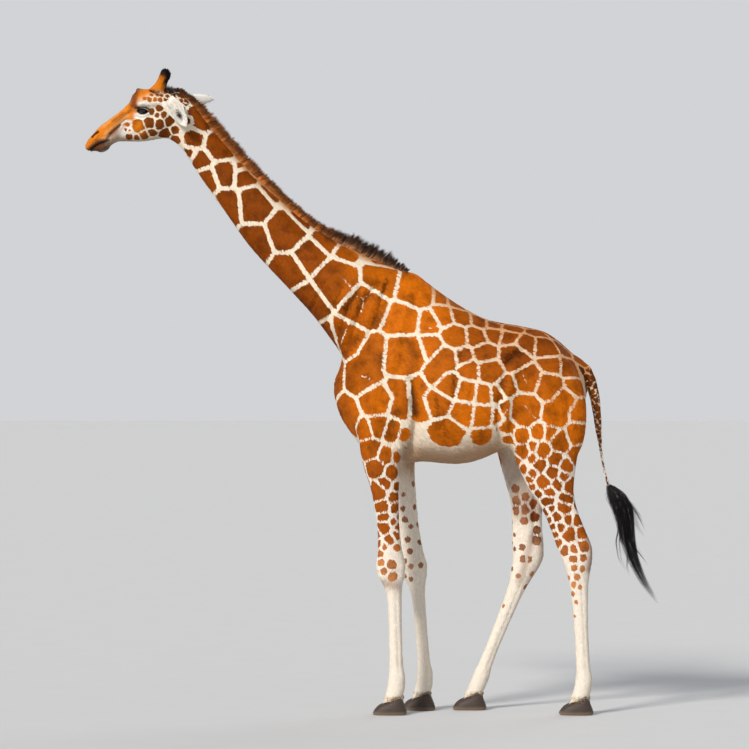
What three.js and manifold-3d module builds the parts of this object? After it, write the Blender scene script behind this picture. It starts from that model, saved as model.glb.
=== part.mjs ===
// A life-size adult female reticulated giraffe, standing still with its neck stretched forward.
// Millimetres, +Z up. The animal faces -X, its left side is at -Y, and its soles lie on z = 0.
// The origin is on the ground at the middle of the animal's length and width.
import * as THREE from 'three';
import { mergeVertices } from 'three/addons/utils/BufferGeometryUtils.js';
import Module from 'manifold-3d';

const wasm = await Module();
wasm.setup();

// ---------------------------------------------------------------- driving dimensions
const LEFT = -1;
const RIGHT = 1;
const CUT_GAP = 0.4; // width of the thin cuts that part the body into its named pieces
const FACET_SIZE = 1.1; // how far a facet of the body may stray from the smooth form
const SECTION_POWER = 2.15; // superellipse exponent of the body's cross-sections, 2 is an ellipse

// Each rung is one cross-section. In the side view it runs from its upper (or front) edge to its lower
// (or rear) edge, both [x, z]; half is half its width; lean moves the widest place towards the lower
// edge (positive) or the upper one (negative).
const TRUNK = [
  { upper: [-208, 2110], lower: [-232, 1940], half: 96, lean: 0 }, // point of the breast
  { upper: [-186, 2195], lower: [-204, 1838], half: 140, lean: 0 },
  { upper: [-140, 2320], lower: [-168, 1775], half: 176, lean: 0 }, // front of the breast
  { upper: [-30, 2560], lower: [-70, 1640], half: 215, lean: 0.1 }, // shoulder joints
  { upper: [100, 2700], lower: [60, 1565], half: 240, lean: 0.25 }, // front of the withers
  { upper: [245, 2745], lower: [200, 1535], half: 268, lean: 0.32 }, // withers
  { upper: [365, 2655], lower: [330, 1550], half: 300, lean: 0.3 }, // back of the shoulder
  { upper: [490, 2562], lower: [480, 1530], half: 325, lean: 0.24 }, // ribs
  { upper: [610, 2488], lower: [610, 1540], half: 330, lean: 0.18 }, // widest ribs
  { upper: [735, 2430], lower: [735, 1585], half: 312, lean: 0.1 }, // loins
  { upper: [860, 2410], lower: [845, 1640], half: 285, lean: 0.02 }, // flank
  { upper: [985, 2385], lower: [970, 1690], half: 262, lean: -0.05 }, // hips
  { upper: [1085, 2360], lower: [1090, 1740], half: 228, lean: -0.05 }, // croup
  { upper: [1195, 2275], lower: [1215, 1790], half: 180, lean: 0 }, // pin bones
  { upper: [1280, 2190], lower: [1295, 1860], half: 118, lean: 0 }, // buttocks
];
const NECK = [
  { upper: [-1235, 3850], lower: [-1235, 3590], half: 60, lean: 0 }, // inside the skull
  { upper: [-1160, 3832], lower: [-1180, 3490], half: 76, lean: -0.05 }, // nape
  { upper: [-1075, 3742], lower: [-1145, 3428], half: 78, lean: -0.05 }, // throat
  { upper: [-975, 3612], lower: [-1090, 3338], half: 80, lean: 0 },
  { upper: [-870, 3492], lower: [-997, 3202], half: 86, lean: 0 },
  { upper: [-745, 3362], lower: [-885, 3048], half: 96, lean: 0 },
  { upper: [-605, 3228], lower: [-762, 2876], half: 108, lean: 0 }, // middle of the neck
  { upper: [-452, 3082], lower: [-632, 2736], half: 124, lean: 0 },
  { upper: [-296, 2968], lower: [-496, 2592], half: 146, lean: 0.05 },
  { upper: [-130, 2880], lower: [-365, 2450], half: 174, lean: 0.1 },
  { upper: [50, 2798], lower: [-255, 2300], half: 196, lean: 0.18 }, // base of the neck
  { upper: [235, 2725], lower: [-110, 2100], half: 186, lean: 0.18 }, // inside the chest
];
const HEAD = [
  { upper: [-1772, 3528], lower: [-1766, 3484], half: 30, lean: 0 }, // tip of the upper lip
  { upper: [-1757, 3556], lower: [-1742, 3478], half: 46, lean: 0 },
  { upper: [-1722, 3592], lower: [-1692, 3478], half: 55, lean: 0 }, // nostrils
  { upper: [-1690, 3628], lower: [-1650, 3486], half: 56, lean: 0 }, // lower lip
  { upper: [-1645, 3664], lower: [-1612, 3518], half: 52, lean: 0 },
  { upper: [-1598, 3704], lower: [-1568, 3537], half: 52, lean: 0.05 }, // bars of the mouth
  { upper: [-1550, 3742], lower: [-1512, 3537], half: 62, lean: 0.05 },
  { upper: [-1505, 3778], lower: [-1455, 3535], half: 78, lean: 0 }, // foot of the brow
  { upper: [-1470, 3845], lower: [-1400, 3538], half: 94, lean: -0.05 }, // eyes
  { upper: [-1410, 3868], lower: [-1345, 3548], half: 100, lean: -0.1 }, // back of the eyes
  { upper: [-1330, 3870], lower: [-1290, 3556], half: 96, lean: -0.1 }, // cheeks
  { upper: [-1255, 3870], lower: [-1240, 3545], half: 84, lean: -0.1 }, // ears
  { upper: [-1190, 3858], lower: [-1190, 3500], half: 74, lean: 0 }, // back of the skull
];
const SHOULDER = [
  { upper: [130, 2560], lower: [280, 2490], half: 40, lean: 0, y: 124 }, // top of the shoulder blade
  { upper: [0, 2400], lower: [275, 2290], half: 66, lean: 0, y: 158 },
  { upper: [-125, 2140], lower: [240, 2010], half: 88, lean: 0, y: 178 },
  { upper: [-160, 1950], lower: [235, 1830], half: 96, lean: 0, y: 178 }, // point of the shoulder
  { upper: [-118, 1770], lower: [205, 1690], half: 92, lean: 0, y: 172 }, // upper arm
  { upper: [-60, 1640], lower: [170, 1600], half: 78, lean: 0, y: 168 },
];
const HAUNCH = [
  { upper: [930, 2300], lower: [1160, 2240], half: 62, lean: 0, y: 120 }, // point of the hip
  { upper: [845, 2190], lower: [1268, 2110], half: 108, lean: 0, y: 140 },
  { upper: [800, 2080], lower: [1325, 1965], half: 128, lean: 0, y: 146 }, // thigh
  { upper: [788, 1920], lower: [1330, 1820], half: 130, lean: 0, y: 150 },
  { upper: [790, 1770], lower: [1322, 1700], half: 118, lean: 0, y: 152 }, // stifle
  { upper: [812, 1650], lower: [1290, 1610], half: 100, lean: 0, y: 155 },
];
const FAR_THIGH_FORWARD = 55; // the right thigh swings this much further forward at the stifle

// A leg follows its bones. along counts the joints: 0 is inside the body, 1 the top of the free leg,
// 2 the knee or hock, 3 the fetlock and 4 the middle of the hoof. front and rear are reaches from the
// line of the bones.
const FORELEG = [
  { along: 0.3, front: 150, rear: 130, half: 80 },
  { along: 1.0, front: 162, rear: 104, half: 84 }, // elbow
  { along: 1.2, front: 124, rear: 94, half: 74 },
  { along: 1.4, front: 98, rear: 80, half: 64 },
  { along: 1.65, front: 80, rear: 70, half: 56 }, // forearm
  { along: 1.83, front: 84, rear: 74, half: 57 },
  { along: 1.95, front: 93, rear: 78, half: 64 }, // knee
  { along: 2.05, front: 84, rear: 74, half: 63 },
  { along: 2.16, front: 52, rear: 60, half: 49 },
  { along: 2.32, front: 39, rear: 53, half: 40 },
  { along: 2.65, front: 41, rear: 50, half: 37 }, // cannon
  { along: 2.88, front: 44, rear: 50, half: 41 },
  { along: 3.0, front: 52, rear: 66, half: 53 }, // fetlock
  { along: 3.5, front: 54, rear: 60, half: 52 }, // pastern
  { along: 4.0, front: 60, rear: 64, half: 60 },
];
const HINDLEG = [
  { along: 0.3, front: 225, rear: 225, half: 96 },
  { along: 1.0, front: 180, rear: 192, half: 86 }, // top of the gaskin
  { along: 1.25, front: 134, rear: 132, half: 68 },
  { along: 1.5, front: 110, rear: 106, half: 57 },
  { along: 1.8, front: 106, rear: 112, half: 52 },
  { along: 1.95, front: 102, rear: 114, half: 57 }, // point of the hock
  { along: 2.07, front: 86, rear: 94, half: 58 },
  { along: 2.2, front: 60, rear: 68, half: 49 },
  { along: 2.35, front: 50, rear: 58, half: 42 },
  { along: 2.65, front: 44, rear: 48, half: 38 }, // cannon
  { along: 2.88, front: 45, rear: 49, half: 41 },
  { along: 3.0, front: 52, rear: 64, half: 52 }, // fetlock
  { along: 3.5, front: 52, rear: 58, half: 51 }, // pastern
  { along: 4.0, front: 58, rear: 62, half: 58 },
];
// The joints of each leg, [x, y, z], from inside the body down to the middle of the hoof. girth scales
// its reaches, and top is the height at which the free leg leaves the body.
const LEGS = {
  foreleg_left: {
    shape: FORELEG,
    girth: 1,
    top: 1495,
    joints: [[50, -172, 1930], [76, -172, 1612], [124, -168, 893], [150, -165, 196], [122, -165, 66]],
  },
  foreleg_right: {
    shape: FORELEG,
    girth: 0.93,
    top: 1495,
    joints: [[130, 172, 1930], [174, 172, 1612], [268, 160, 880], [330, 150, 196], [302, 150, 66]],
  },
  hindleg_left: {
    shape: HINDLEG,
    girth: 1,
    top: 1568,
    joints: [[1050, -155, 1810], [1078, -158, 1500], [1262, -165, 973], [1302, -170, 196], [1268, -170, 66]],
  },
  hindleg_right: {
    shape: HINDLEG,
    girth: 0.96,
    top: 1568,
    joints: [[960, 155, 1810], [970, 158, 1500], [970, 165, 942], [672, 175, 196], [622, 175, 66]],
  },
};
// Each hoof has two claws. The coronet, where hair meets horn, slopes down from its toe to its heel.
const HOOF = { toe: 128, heel: 98, claw: 82, split: 7, top: 130, coronet: 88, coronetSlope: 17 };

// The tail's dock and its tassel, [x, z] down the middle, with the reach to each side.
const DOCK = [
  { x: 1225, z: 2180, reach: 52, half: 56 }, // tail head, inside the rump
  { x: 1298, z: 2136, reach: 46, half: 46 },
  { x: 1352, z: 2060, reach: 34, half: 34 },
  { x: 1386, z: 1930, reach: 26, half: 26 },
  { x: 1402, z: 1780, reach: 18, half: 18 },
  { x: 1420, z: 1620, reach: 13, half: 13 },
  { x: 1444, z: 1480, reach: 12, half: 12 },
  { x: 1470, z: 1400, reach: 14, half: 14 },
];
const TASSEL = [
  { x: 1484, z: 1376, reach: 26, half: 24 },
  { x: 1528, z: 1312, reach: 62, half: 46 },
  { x: 1560, z: 1238, reach: 70, half: 54 },
  { x: 1582, z: 1150, reach: 60, half: 50 },
  { x: 1600, z: 1050, reach: 44, half: 40 },
  { x: 1640, z: 950, reach: 36, half: 32 },
  { x: 1692, z: 845, reach: 27, half: 25 },
  { x: 1736, z: 755, reach: 19, half: 17 },
  { x: 1772.4, z: 680, reach: 7, half: 7 },
];
const FRONT_WISP = [
  { x: 1548, z: 1170, reach: 30, half: 26 },
  { x: 1524, z: 1060, reach: 17, half: 15 },
  { x: 1538, z: 950, reach: 11, half: 10 },
  { x: 1588, z: 855, reach: 4, half: 4 },
];
const REAR_WISP = [
  { x: 1606, z: 1230, reach: 32, half: 24 },
  { x: 1642, z: 1150, reach: 20, half: 15 },
  { x: 1688, z: 1088, reach: 5, half: 5 },
];
const TASSEL_TOP = { x: 1476, z: 1388, heading: [0.55, 0, -0.84] }; // where the dock ends

// The mane's crest stands this far out from the neck's upper edge at each rung of the neck. Its roots
// are sunk in the neck.
const MANE = {
  first: 0.052, // where along the neck it starts, as a share of the rungs
  root: 40,
  half: 22,
  crestHalf: 7,
  heights: [24, 34, 50, 62, 56, 48, 44, 42, 46, 58, 58, 18],
};
const EYE = { x: -1417, y: 80, z: 3724, radius: 27 };
const EAR = { length: 245, half: 55, thick: 14, cup: 15, sunk: 25, fullness: 0.6 };
// open is the way its hollow faces.
const EARS = {
  ear_left: { base: [-1252, -76, 3796], tip: [0.457, -0.5, -0.735], open: [-0.25, -0.9, 0.35] },
  ear_right: { base: [-1222, 72, 3798], tip: [0.96, 0.24, 0.07], open: [-0.1, 0.75, -0.45] },
};
const OSSICONE = {
  foot: [-1332, 46, 3832],
  tip: [-1277, 56, 3966],
  radii: [58, 42, 31, 27, 28, 26], // from its foot to its crown
  cap: 15,
};
const MOUTH = {
  line: [[-1775, 3470], [-1742, 3494], [-1706, 3520], [-1665, 3538], [-1622, 3550]], // lips to corner
  slot: 2.5,
};

const SKULL_CUT = { x: -1186, top: 3960, bottom: 3380 };
const NECK_CUTS = [4.5, 7.5, 10]; // in rungs of the neck
const CHEST_CUT = { x: 345, top: 2900, bottom: 1400 };
const LOIN_CUT = { top: [868, 2520], bottom: [768, 1575] };
const MANE_CUT = { top: [-300, 3300], bottom: [-720, 2820] };
const LEG_CUT = { y: 175, top: 348, below: 260 }; // widths of the blades at a leg's top and at its joints

// ---------------------------------------------------------------- solids from three.js geometry
function solidFrom(geometry) {
  const bare = geometry.clone();
  bare.deleteAttribute('normal');
  bare.deleteAttribute('uv');
  const merged = mergeVertices(bare, 1e-3);
  return new wasm.Manifold(new wasm.Mesh({
    numProp: 3,
    vertProperties: new Float32Array(merged.attributes.position.array),
    triVerts: new Uint32Array(merged.index.array),
  }));
}

function geometryFrom(solid) {
  const mesh = solid.getMesh();
  const geometry = new THREE.BufferGeometry();
  geometry.setAttribute('position', new THREE.BufferAttribute(new Float32Array(mesh.vertProperties), 3));
  geometry.setIndex(new THREE.BufferAttribute(new Uint32Array(mesh.triVerts), 1));
  geometry.computeVertexNormals();
  return geometry;
}

// Closed tube through a list of rings, each an array of Vector3, with a fan to the middle of each end.
function skinRings(rings) {
  const sides = rings[0].length;
  const points = rings.flat();
  const index = [];
  const ringPoint = (ring, side) => ring * sides + (side % sides);
  for (let ring = 0; ring + 1 < rings.length; ring += 1) {
    for (let side = 0; side < sides; side += 1) {
      const a = ringPoint(ring, side);
      const b = ringPoint(ring, side + 1);
      const c = ringPoint(ring + 1, side + 1);
      const d = ringPoint(ring + 1, side);
      index.push(a, b, c, a, c, d);
    }
  }
  for (const ring of [0, rings.length - 1]) {
    const middle = rings[ring].reduce((sum, p) => sum.add(p), new THREE.Vector3()).divideScalar(sides);
    const hub = points.push(middle) - 1;
    for (let side = 0; side < sides; side += 1) {
      const a = ringPoint(ring, side);
      const b = ringPoint(ring, side + 1);
      index.push(...(ring === 0 ? [hub, b, a] : [hub, a, b]));
    }
  }
  const geometry = new THREE.BufferGeometry().setFromPoints(points);
  geometry.setIndex(index);
  const solid = solidFrom(geometry);
  if (solid.volume() > 0) return solid;
  geometry.setIndex(index.reverse());
  return solidFrom(geometry);
}

// Reads a smooth curve through the same field of each row, so that rungs can be set as close as needed.
function smoothRows(rows, fields) {
  const points = rows.map((row) => new THREE.Vector3(...fields(row)));
  const curve = new THREE.CatmullRomCurve3(points, false, 'catmullrom');
  return (t) => curve.getPoint(t);
}

// One ring of a cross-section from its upper edge to its lower edge.
function sectionRing(upper, lower, y, half, lean, sides, power = SECTION_POWER) {
  const middle = upper.clone().add(lower).multiplyScalar(0.5);
  const reach = upper.clone().sub(lower).multiplyScalar(0.5);
  return Array.from({ length: sides }, (_, side) => {
    const angle = (2 * Math.PI * side) / sides;
    const along = Math.sign(Math.cos(angle)) * Math.abs(Math.cos(angle)) ** (2 / power);
    const across = Math.sign(Math.sin(angle)) * Math.abs(Math.sin(angle)) ** (2 / power);
    const width = half * across * (1 - lean * along);
    return new THREE.Vector3(middle.x + reach.x * along, y + width, middle.z + reach.z * along);
  });
}

// Rounds the end of a loft with rings that shrink towards a point ahead of it.
function domeRings(ring, ahead, steps) {
  const middle = ring.reduce((sum, p) => sum.add(p), new THREE.Vector3()).divideScalar(ring.length);
  return Array.from({ length: steps }, (_, step) => {
    const angle = (Math.PI / 2) * ((step + 1) / (steps + 0.5));
    const push = ahead.clone().multiplyScalar(Math.sin(angle));
    return ring.map((p) => p.clone().sub(middle).multiplyScalar(Math.cos(angle)).add(middle).add(push));
  });
}

// A loft through rungs. The dome at its first or last rung is how far the end bulges out.
function loft(rows, { side = LEFT, sides, steps, firstDome = 0, lastDome = 0, shift = () => 0 }) {
  const upperAt = smoothRows(rows, (row) => [row.upper[0] + shift(row), 0, row.upper[1]]);
  const lowerAt = smoothRows(rows, (row) => [row.lower[0] + shift(row), 0, row.lower[1]]);
  const sizesAt = smoothRows(rows, (row) => [row.half, row.lean, (row.y ?? 0) * side]);
  let rings = [];
  for (let step = 0; step <= steps; step += 1) {
    const t = step / steps;
    const sizes = sizesAt(t);
    rings.push(sectionRing(upperAt(t), lowerAt(t), sizes.z, sizes.x, sizes.y, sides));
  }
  const middleAt = (t) => upperAt(t).add(lowerAt(t)).multiplyScalar(0.5);
  const DOME_STEPS = 2;
  if (firstDome) {
    const ahead = middleAt(0).sub(middleAt(0.02)).setLength(firstDome);
    rings = [...domeRings(rings[0], ahead, DOME_STEPS).reverse(), ...rings];
  }
  if (lastDome) {
    const ahead = middleAt(1).sub(middleAt(0.98)).setLength(lastDome);
    rings.push(...domeRings(rings[rings.length - 1], ahead, DOME_STEPS));
  }
  return skinRings(rings);
}

// A leg: cross-sections square to the line of its bones, turned smoothly where the bones meet.
function legLoft({ shape, joints, girth }, sides, steps) {
  const places = joints.map((joint) => new THREE.Vector3(...joint));
  const bones = places.slice(1).map((place, bone) => place.clone().sub(places[bone]).normalize());
  const JOINT_TURN = 0.22; // share of a bone over which the section turns at each joint
  const sectionAt = (along) => {
    const bone = Math.min(Math.floor(along), bones.length - 1);
    const part = along - bone;
    const direction = bones[bone].clone();
    if (part < JOINT_TURN && bone > 0) direction.lerp(bones[bone - 1], 0.5 * (1 - part / JOINT_TURN));
    if (part > 1 - JOINT_TURN && bone + 1 < bones.length) {
      direction.lerp(bones[bone + 1], 0.5 * (1 - (1 - part) / JOINT_TURN));
    }
    const forward = new THREE.Vector3(direction.z, 0, -direction.x).normalize();
    return { middle: places[bone].clone().lerp(places[bone + 1], part), forward };
  };
  const sizesAt = smoothRows(shape, (row) => [row.front, row.rear, row.half]);
  const alongAt = smoothRows(shape, (row) => [row.along, 0, 0]);
  const rings = [];
  for (let step = 0; step <= steps; step += 1) {
    const t = step / steps;
    const { middle, forward } = sectionAt(Math.min(alongAt(t).x, joints.length - 1 - 1e-6));
    const sizes = sizesAt(t).multiplyScalar(girth);
    const front = middle.clone().addScaledVector(forward, sizes.x);
    const rear = middle.clone().addScaledVector(forward, -sizes.y);
    rings.push(sectionRing(front, rear, middle.y, sizes.z, 0, sides, 2));
  }
  return skinRings(rings);
}

// A round-ended tube down a list of rows with a middle, a reach in the side view and a half width.
function strandLoft(rows, sides, steps, firstDome, lastDome) {
  const middleAt = smoothRows(rows, (row) => [row.x, 0, row.z]);
  const sizesAt = smoothRows(rows, (row) => [row.reach, row.half, 0]);
  let rings = [];
  for (let step = 0; step <= steps; step += 1) {
    const t = step / steps;
    const heading = middleAt(Math.min(1, t + 0.01)).sub(middleAt(Math.max(0, t - 0.01))).normalize();
    const forward = new THREE.Vector3(heading.z, 0, -heading.x);
    const sizes = sizesAt(t);
    const front = middleAt(t).addScaledVector(forward, sizes.x);
    const rear = middleAt(t).addScaledVector(forward, -sizes.x);
    rings.push(sectionRing(front, rear, 0, sizes.y, 0, sides, 2));
  }
  const startHeading = middleAt(0).sub(middleAt(0.02)).setLength(firstDome);
  const endHeading = middleAt(1).sub(middleAt(0.98)).setLength(lastDome);
  rings = [...domeRings(rings[0], startHeading, 2).reverse(), ...rings];
  rings.push(...domeRings(rings[rings.length - 1], endHeading, 2));
  return skinRings(rings);
}

function ellipsoid([x, y, z], [rx, ry, rz], pitch = 0, segments = 10) {
  const geometry = new THREE.SphereGeometry(1, segments, Math.round(segments * 0.75));
  geometry.scale(rx, ry, rz).rotateY(pitch).translate(x, y, z);
  return solidFrom(geometry);
}

const bothSides = (make) => [LEFT, RIGHT].map(make);
const join = (solids) => solids.reduce((sum, solid) => sum.add(solid));

// ---------------------------------------------------------------- head
const HEAD_PITCH = THREE.MathUtils.degToRad(-24); // the face slopes down towards the muzzle

// The thin slot of the closed mouth, from between the lips back to its corner.
function mouthSlot() {
  const line = new THREE.SplineCurve(MOUTH.line.map((point) => new THREE.Vector2(...point)));
  const lowerEdge = line.getPoints(5);
  const upperEdge = lowerEdge.map((p) => new THREE.Vector2(p.x, p.y + MOUTH.slot)).reverse();
  const shape = new THREE.Shape([...lowerEdge, ...upperEdge]);
  const depth = 240; // past both cheeks
  const geometry = new THREE.ExtrudeGeometry(shape, { depth, bevelEnabled: false });
  geometry.translate(0, 0, -depth / 2).rotateX(Math.PI / 2);
  return solidFrom(geometry);
}

function headSolid() {
  const skull = loft(HEAD, { sides: 16, steps: 17, firstDome: 12 });
  const forms = bothSides((side) => join([
    ellipsoid([-1424, 72 * side, 3748], [62, 37, 42], HEAD_PITCH), // brow and orbit
    ellipsoid([-1330, 62 * side, 3660], [86, 38, 82], HEAD_PITCH, 8), // cheek
    ellipsoid([-1708, 33 * side, 3560], [40, 26, 26], HEAD_PITCH, 8), // nostril's wing
  ]));
  const middles = [
    ellipsoid([-1402, 0, 3820], [60, 62, 50], 0), // median horn
    ellipsoid([-1686, 0, 3507], [50, 44, 29], 0.3, 8), // chin and lower lip
    ellipsoid([-1745, 0, 3510], [30, 48, 38], 0, 8), // upper lip
  ];
  return join([skull, ...forms, ...middles]);
}

// Sockets, nostrils and mouth are cut into the head.
function headCuts() {
  const sockets = bothSides((side) => eyeBall(side, EYE.radius + CUT_GAP));
  const nostrilPitch = HEAD_PITCH - 0.35; // steeper than the face
  const nostrils = bothSides((side) => ellipsoid([-1722, 60 * side, 3570], [23, 16, 7], nostrilPitch, 8));
  return join([...sockets, ...nostrils, mouthSlot()]);
}

function eyeBall(side, radius) {
  return ellipsoid([EYE.x, EYE.y * side, EYE.z], [radius, radius, radius]);
}

// A leaf-shaped ear, hollowed on its open side, built along +Z and then set in place.
function earSolid({ base, tip, open }) {
  const STEPS = 8;
  const SIDES = 8;
  const rings = Array.from({ length: STEPS + 1 }, (_, step) => {
    const t = step / STEPS;
    const leaf = Math.sin(Math.PI * Math.min(1, 0.16 + 0.84 * t) ** 0.85) ** EAR.fullness;
    const half = Math.max(3, EAR.half * leaf);
    const thick = Math.max(2.5, EAR.thick * (1 - 0.6 * t));
    const z = (EAR.length + EAR.sunk) * t - EAR.sunk;
    // The section is a crescent: its edges curl towards the open side.
    return Array.from({ length: SIDES }, (_unused, k) => {
      const angle = (2 * Math.PI * k) / SIDES;
      const across = Math.cos(angle);
      const curl = EAR.cup * 2 * leaf * (across ** 2 - 0.5);
      return new THREE.Vector3(half * across, curl + thick * Math.sin(angle), z);
    });
  });
  const zAxis = new THREE.Vector3(...tip).normalize();
  const xAxis = new THREE.Vector3(...open).cross(zAxis).normalize();
  const yAxis = zAxis.clone().cross(xAxis);
  const pose = new THREE.Matrix4().makeBasis(xAxis, yAxis, zAxis).setPosition(...base);
  return skinRings(rings.map((ring) => ring.map((p) => p.applyMatrix4(pose))));
}

function ossiconeSolid(side) {
  const foot = new THREE.Vector3(OSSICONE.foot[0], OSSICONE.foot[1] * side, OSSICONE.foot[2]);
  const tip = new THREE.Vector3(OSSICONE.tip[0], OSSICONE.tip[1] * side, OSSICONE.tip[2]);
  const radii = smoothRows(OSSICONE.radii, (radius) => [radius, 0, 0]);
  const length = foot.distanceTo(tip);
  const STEPS = 5;
  const profile = [new THREE.Vector2(0, 0)];
  for (let step = 0; step <= STEPS; step += 1) {
    profile.push(new THREE.Vector2(radii(step / STEPS).x, (length * step) / STEPS));
  }
  const crown = radii(1).x;
  profile.push(
    new THREE.Vector2(crown * 0.6, length + OSSICONE.cap * 0.75),
    new THREE.Vector2(0, length + OSSICONE.cap),
  );
  const geometry = new THREE.LatheGeometry(profile, 9);
  const lean = new THREE.Quaternion().setFromUnitVectors(
    new THREE.Vector3(0, 1, 0),
    tip.clone().sub(foot).normalize(),
  );
  geometry.applyQuaternion(lean).translate(foot.x, foot.y, foot.z);
  return solidFrom(geometry);
}

// ---------------------------------------------------------------- neck, trunk and mane
function neckSolid() {
  return loft(NECK, { sides: 16, steps: 17, lastDome: 150 });
}

function trunkSolid() {
  return loft(TRUNK, { sides: 20, steps: 19, firstDome: 24, lastDome: 42 });
}

function shoulderSolid(side) {
  const forward = side === RIGHT ? 35 : 0;
  return loft(SHOULDER, { side, sides: 12, steps: 6, firstDome: 80, lastDome: 30, shift: () => forward });
}

function haunchSolid(side) {
  const lowest = HAUNCH[HAUNCH.length - 1].upper[1];
  const highest = HAUNCH[0].upper[1];
  const share = (row) => (highest - row.upper[1]) / (highest - lowest);
  const shift = (row) => (side === RIGHT ? -FAR_THIGH_FORWARD * share(row) : 0);
  return loft(HAUNCH, { side, sides: 14, steps: 7, firstDome: 60, lastDome: 30, shift });
}

// The mane's crest stands out from the neck's upper edge, square to it.
function maneSolid() {
  const neckline = smoothRows(NECK, (row) => [row.upper[0], 0, row.upper[1]]);
  const heightAt = smoothRows(MANE.heights, (height) => [height, 0, 0]);
  const STEPS = 17;
  const rings = Array.from({ length: STEPS + 1 }, (_, step) => {
    const t = MANE.first + (1 - MANE.first) * (step / STEPS);
    const heading = neckline(Math.min(1, t + 0.01)).sub(neckline(t - 0.01)).normalize();
    const out = new THREE.Vector3(-heading.z, 0, heading.x);
    const foot = neckline(t).addScaledVector(out, -MANE.root);
    const crest = neckline(t).addScaledVector(out, heightAt(t).x);
    const waist = foot.clone().lerp(crest, 0.7);
    return [
      [crest, MANE.crestHalf], [waist, MANE.half], [foot, MANE.half],
      [foot, -MANE.half], [waist, -MANE.half], [crest, -MANE.crestHalf],
    ].map(([centre, y]) => new THREE.Vector3(centre.x, y, centre.z));
  });
  return skinRings(rings);
}

// ---------------------------------------------------------------- tail
// Both ends of the gap between dock and tassel lie on one slanted plane.
function tailSolids() {
  const dock = strandLoft(DOCK, 7, 10, 10, 8);
  const strands = [
    strandLoft(TASSEL, 7, 10, 14, 10),
    strandLoft(FRONT_WISP, 5, 5, 10, 6),
    strandLoft(REAR_WISP, 5, 4, 10, 6),
  ];
  const heading = new THREE.Vector3(...TASSEL_TOP.heading).normalize();
  const place = new THREE.Vector3(TASSEL_TOP.x, 0, TASSEL_TOP.z);
  const REACH = 600;
  const shift = (REACH - CUT_GAP) / 2;
  const above = slab(place.clone().addScaledVector(heading, -shift), heading, REACH, REACH);
  const below = slab(place.clone().addScaledVector(heading, shift), heading, REACH, REACH);
  return {
    tail_dock: clearOfBody(dock.subtract(below), [0.8, 0, 0.6]),
    tail_tassel: join(strands).subtract(above),
  };
}

// ---------------------------------------------------------------- feet
// The block below (or above) the coronet of a leg: its slanted face is half a gap from the coronet.
function coronetBlock({ joints }, below) {
  const [x, y] = joints[joints.length - 1];
  const slope = THREE.MathUtils.degToRad(HOOF.coronetSlope);
  const up = new THREE.Vector3(-Math.sin(slope), 0, Math.cos(slope));
  const REACH = 500;
  const shift = (REACH - CUT_GAP) / 2;
  const centre = new THREE.Vector3(x, y, HOOF.coronet).addScaledVector(up, below ? -shift : shift);
  return slab(centre, up, REACH, REACH);
}

// One claw of a cloven hoof: it narrows from its flat sole up to the coronet.
function clawSolid(leg, claw) {
  const [x, y] = leg.joints[leg.joints.length - 1];
  const offset = claw * (HOOF.claw + HOOF.split) / 2;
  // Each level: height, how far the toe and the heel draw in, and the share of the width that is left.
  const levels = [[0, 0, 0, 0.97], [14, 4, 0, 1], [70, 46, 16, 0.9], [HOOF.top, 84, 30, 0.76]];
  const POINTED_TOE = 0.24;
  const rings = levels.map(([z, toeIn, heelIn, share]) => sectionRing(
    new THREE.Vector3(x - HOOF.toe + toeIn, 0, z),
    new THREE.Vector3(x + HOOF.heel - heelIn, 0, z),
    y + offset,
    (HOOF.claw / 2) * share,
    POINTED_TOE,
    10,
    2.5,
  ));
  return skinRings(rings).subtract(coronetBlock(leg, false));
}

// ---------------------------------------------------------------- thin cuts
// A square slab centred on a point, thick along the direction given.
function slab(centre, direction, width, thickness) {
  const geometry = new THREE.BoxGeometry(width, thickness, width);
  const yAxis = new THREE.Vector3(0, 1, 0);
  const turn = new THREE.Quaternion().setFromUnitVectors(yAxis, direction.clone().normalize());
  geometry.applyQuaternion(turn).translate(centre.x, centre.y, centre.z);
  return solidFrom(geometry);
}

// A thin blade through the line from top to bottom, both [x, z], right across the animal.
function crossBlade(top, bottom, overhang = 60) {
  const length = Math.hypot(top[0] - bottom[0], top[1] - bottom[1]) + 2 * overhang;
  const geometry = new THREE.BoxGeometry(CUT_GAP, 1000, length);
  geometry.rotateY(Math.atan2(top[0] - bottom[0], top[1] - bottom[1]));
  geometry.translate((top[0] + bottom[0]) / 2, 0, (top[1] + bottom[1]) / 2);
  return solidFrom(geometry);
}

function neckBlade(rung) {
  const upper = smoothRows(NECK, (row) => [row.upper[0], 0, row.upper[1]])(rung / (NECK.length - 1));
  const lower = smoothRows(NECK, (row) => [row.lower[0], 0, row.lower[1]])(rung / (NECK.length - 1));
  return crossBlade([upper.x, upper.z], [lower.x, lower.z], rung === NECK_CUTS[2] ? 30 : 90);
}

// The free leg is parted from the body, and again at the knee or hock and at the fetlock.
function legBlades({ joints, top }) {
  const [, elbow, knee, fetlock] = joints.map((joint) => new THREE.Vector3(...joint));
  const side = Math.sign(elbow.y);
  const share = (elbow.z - top) / (elbow.z - knee.z);
  const neckOfLeg = elbow.clone().lerp(knee, share).setZ(top).setY(side * LEG_CUT.y);
  const cannon = fetlock.clone().sub(knee);
  const across = new THREE.BoxGeometry(1.5 * LEG_CUT.top, LEG_CUT.top, CUT_GAP);
  across.translate(neckOfLeg.x, neckOfLeg.y, neckOfLeg.z);
  return [
    solidFrom(across),
    slab(knee, cannon, LEG_CUT.below, CUT_GAP),
    slab(fetlock, cannon, LEG_CUT.below, CUT_GAP),
  ];
}

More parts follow.
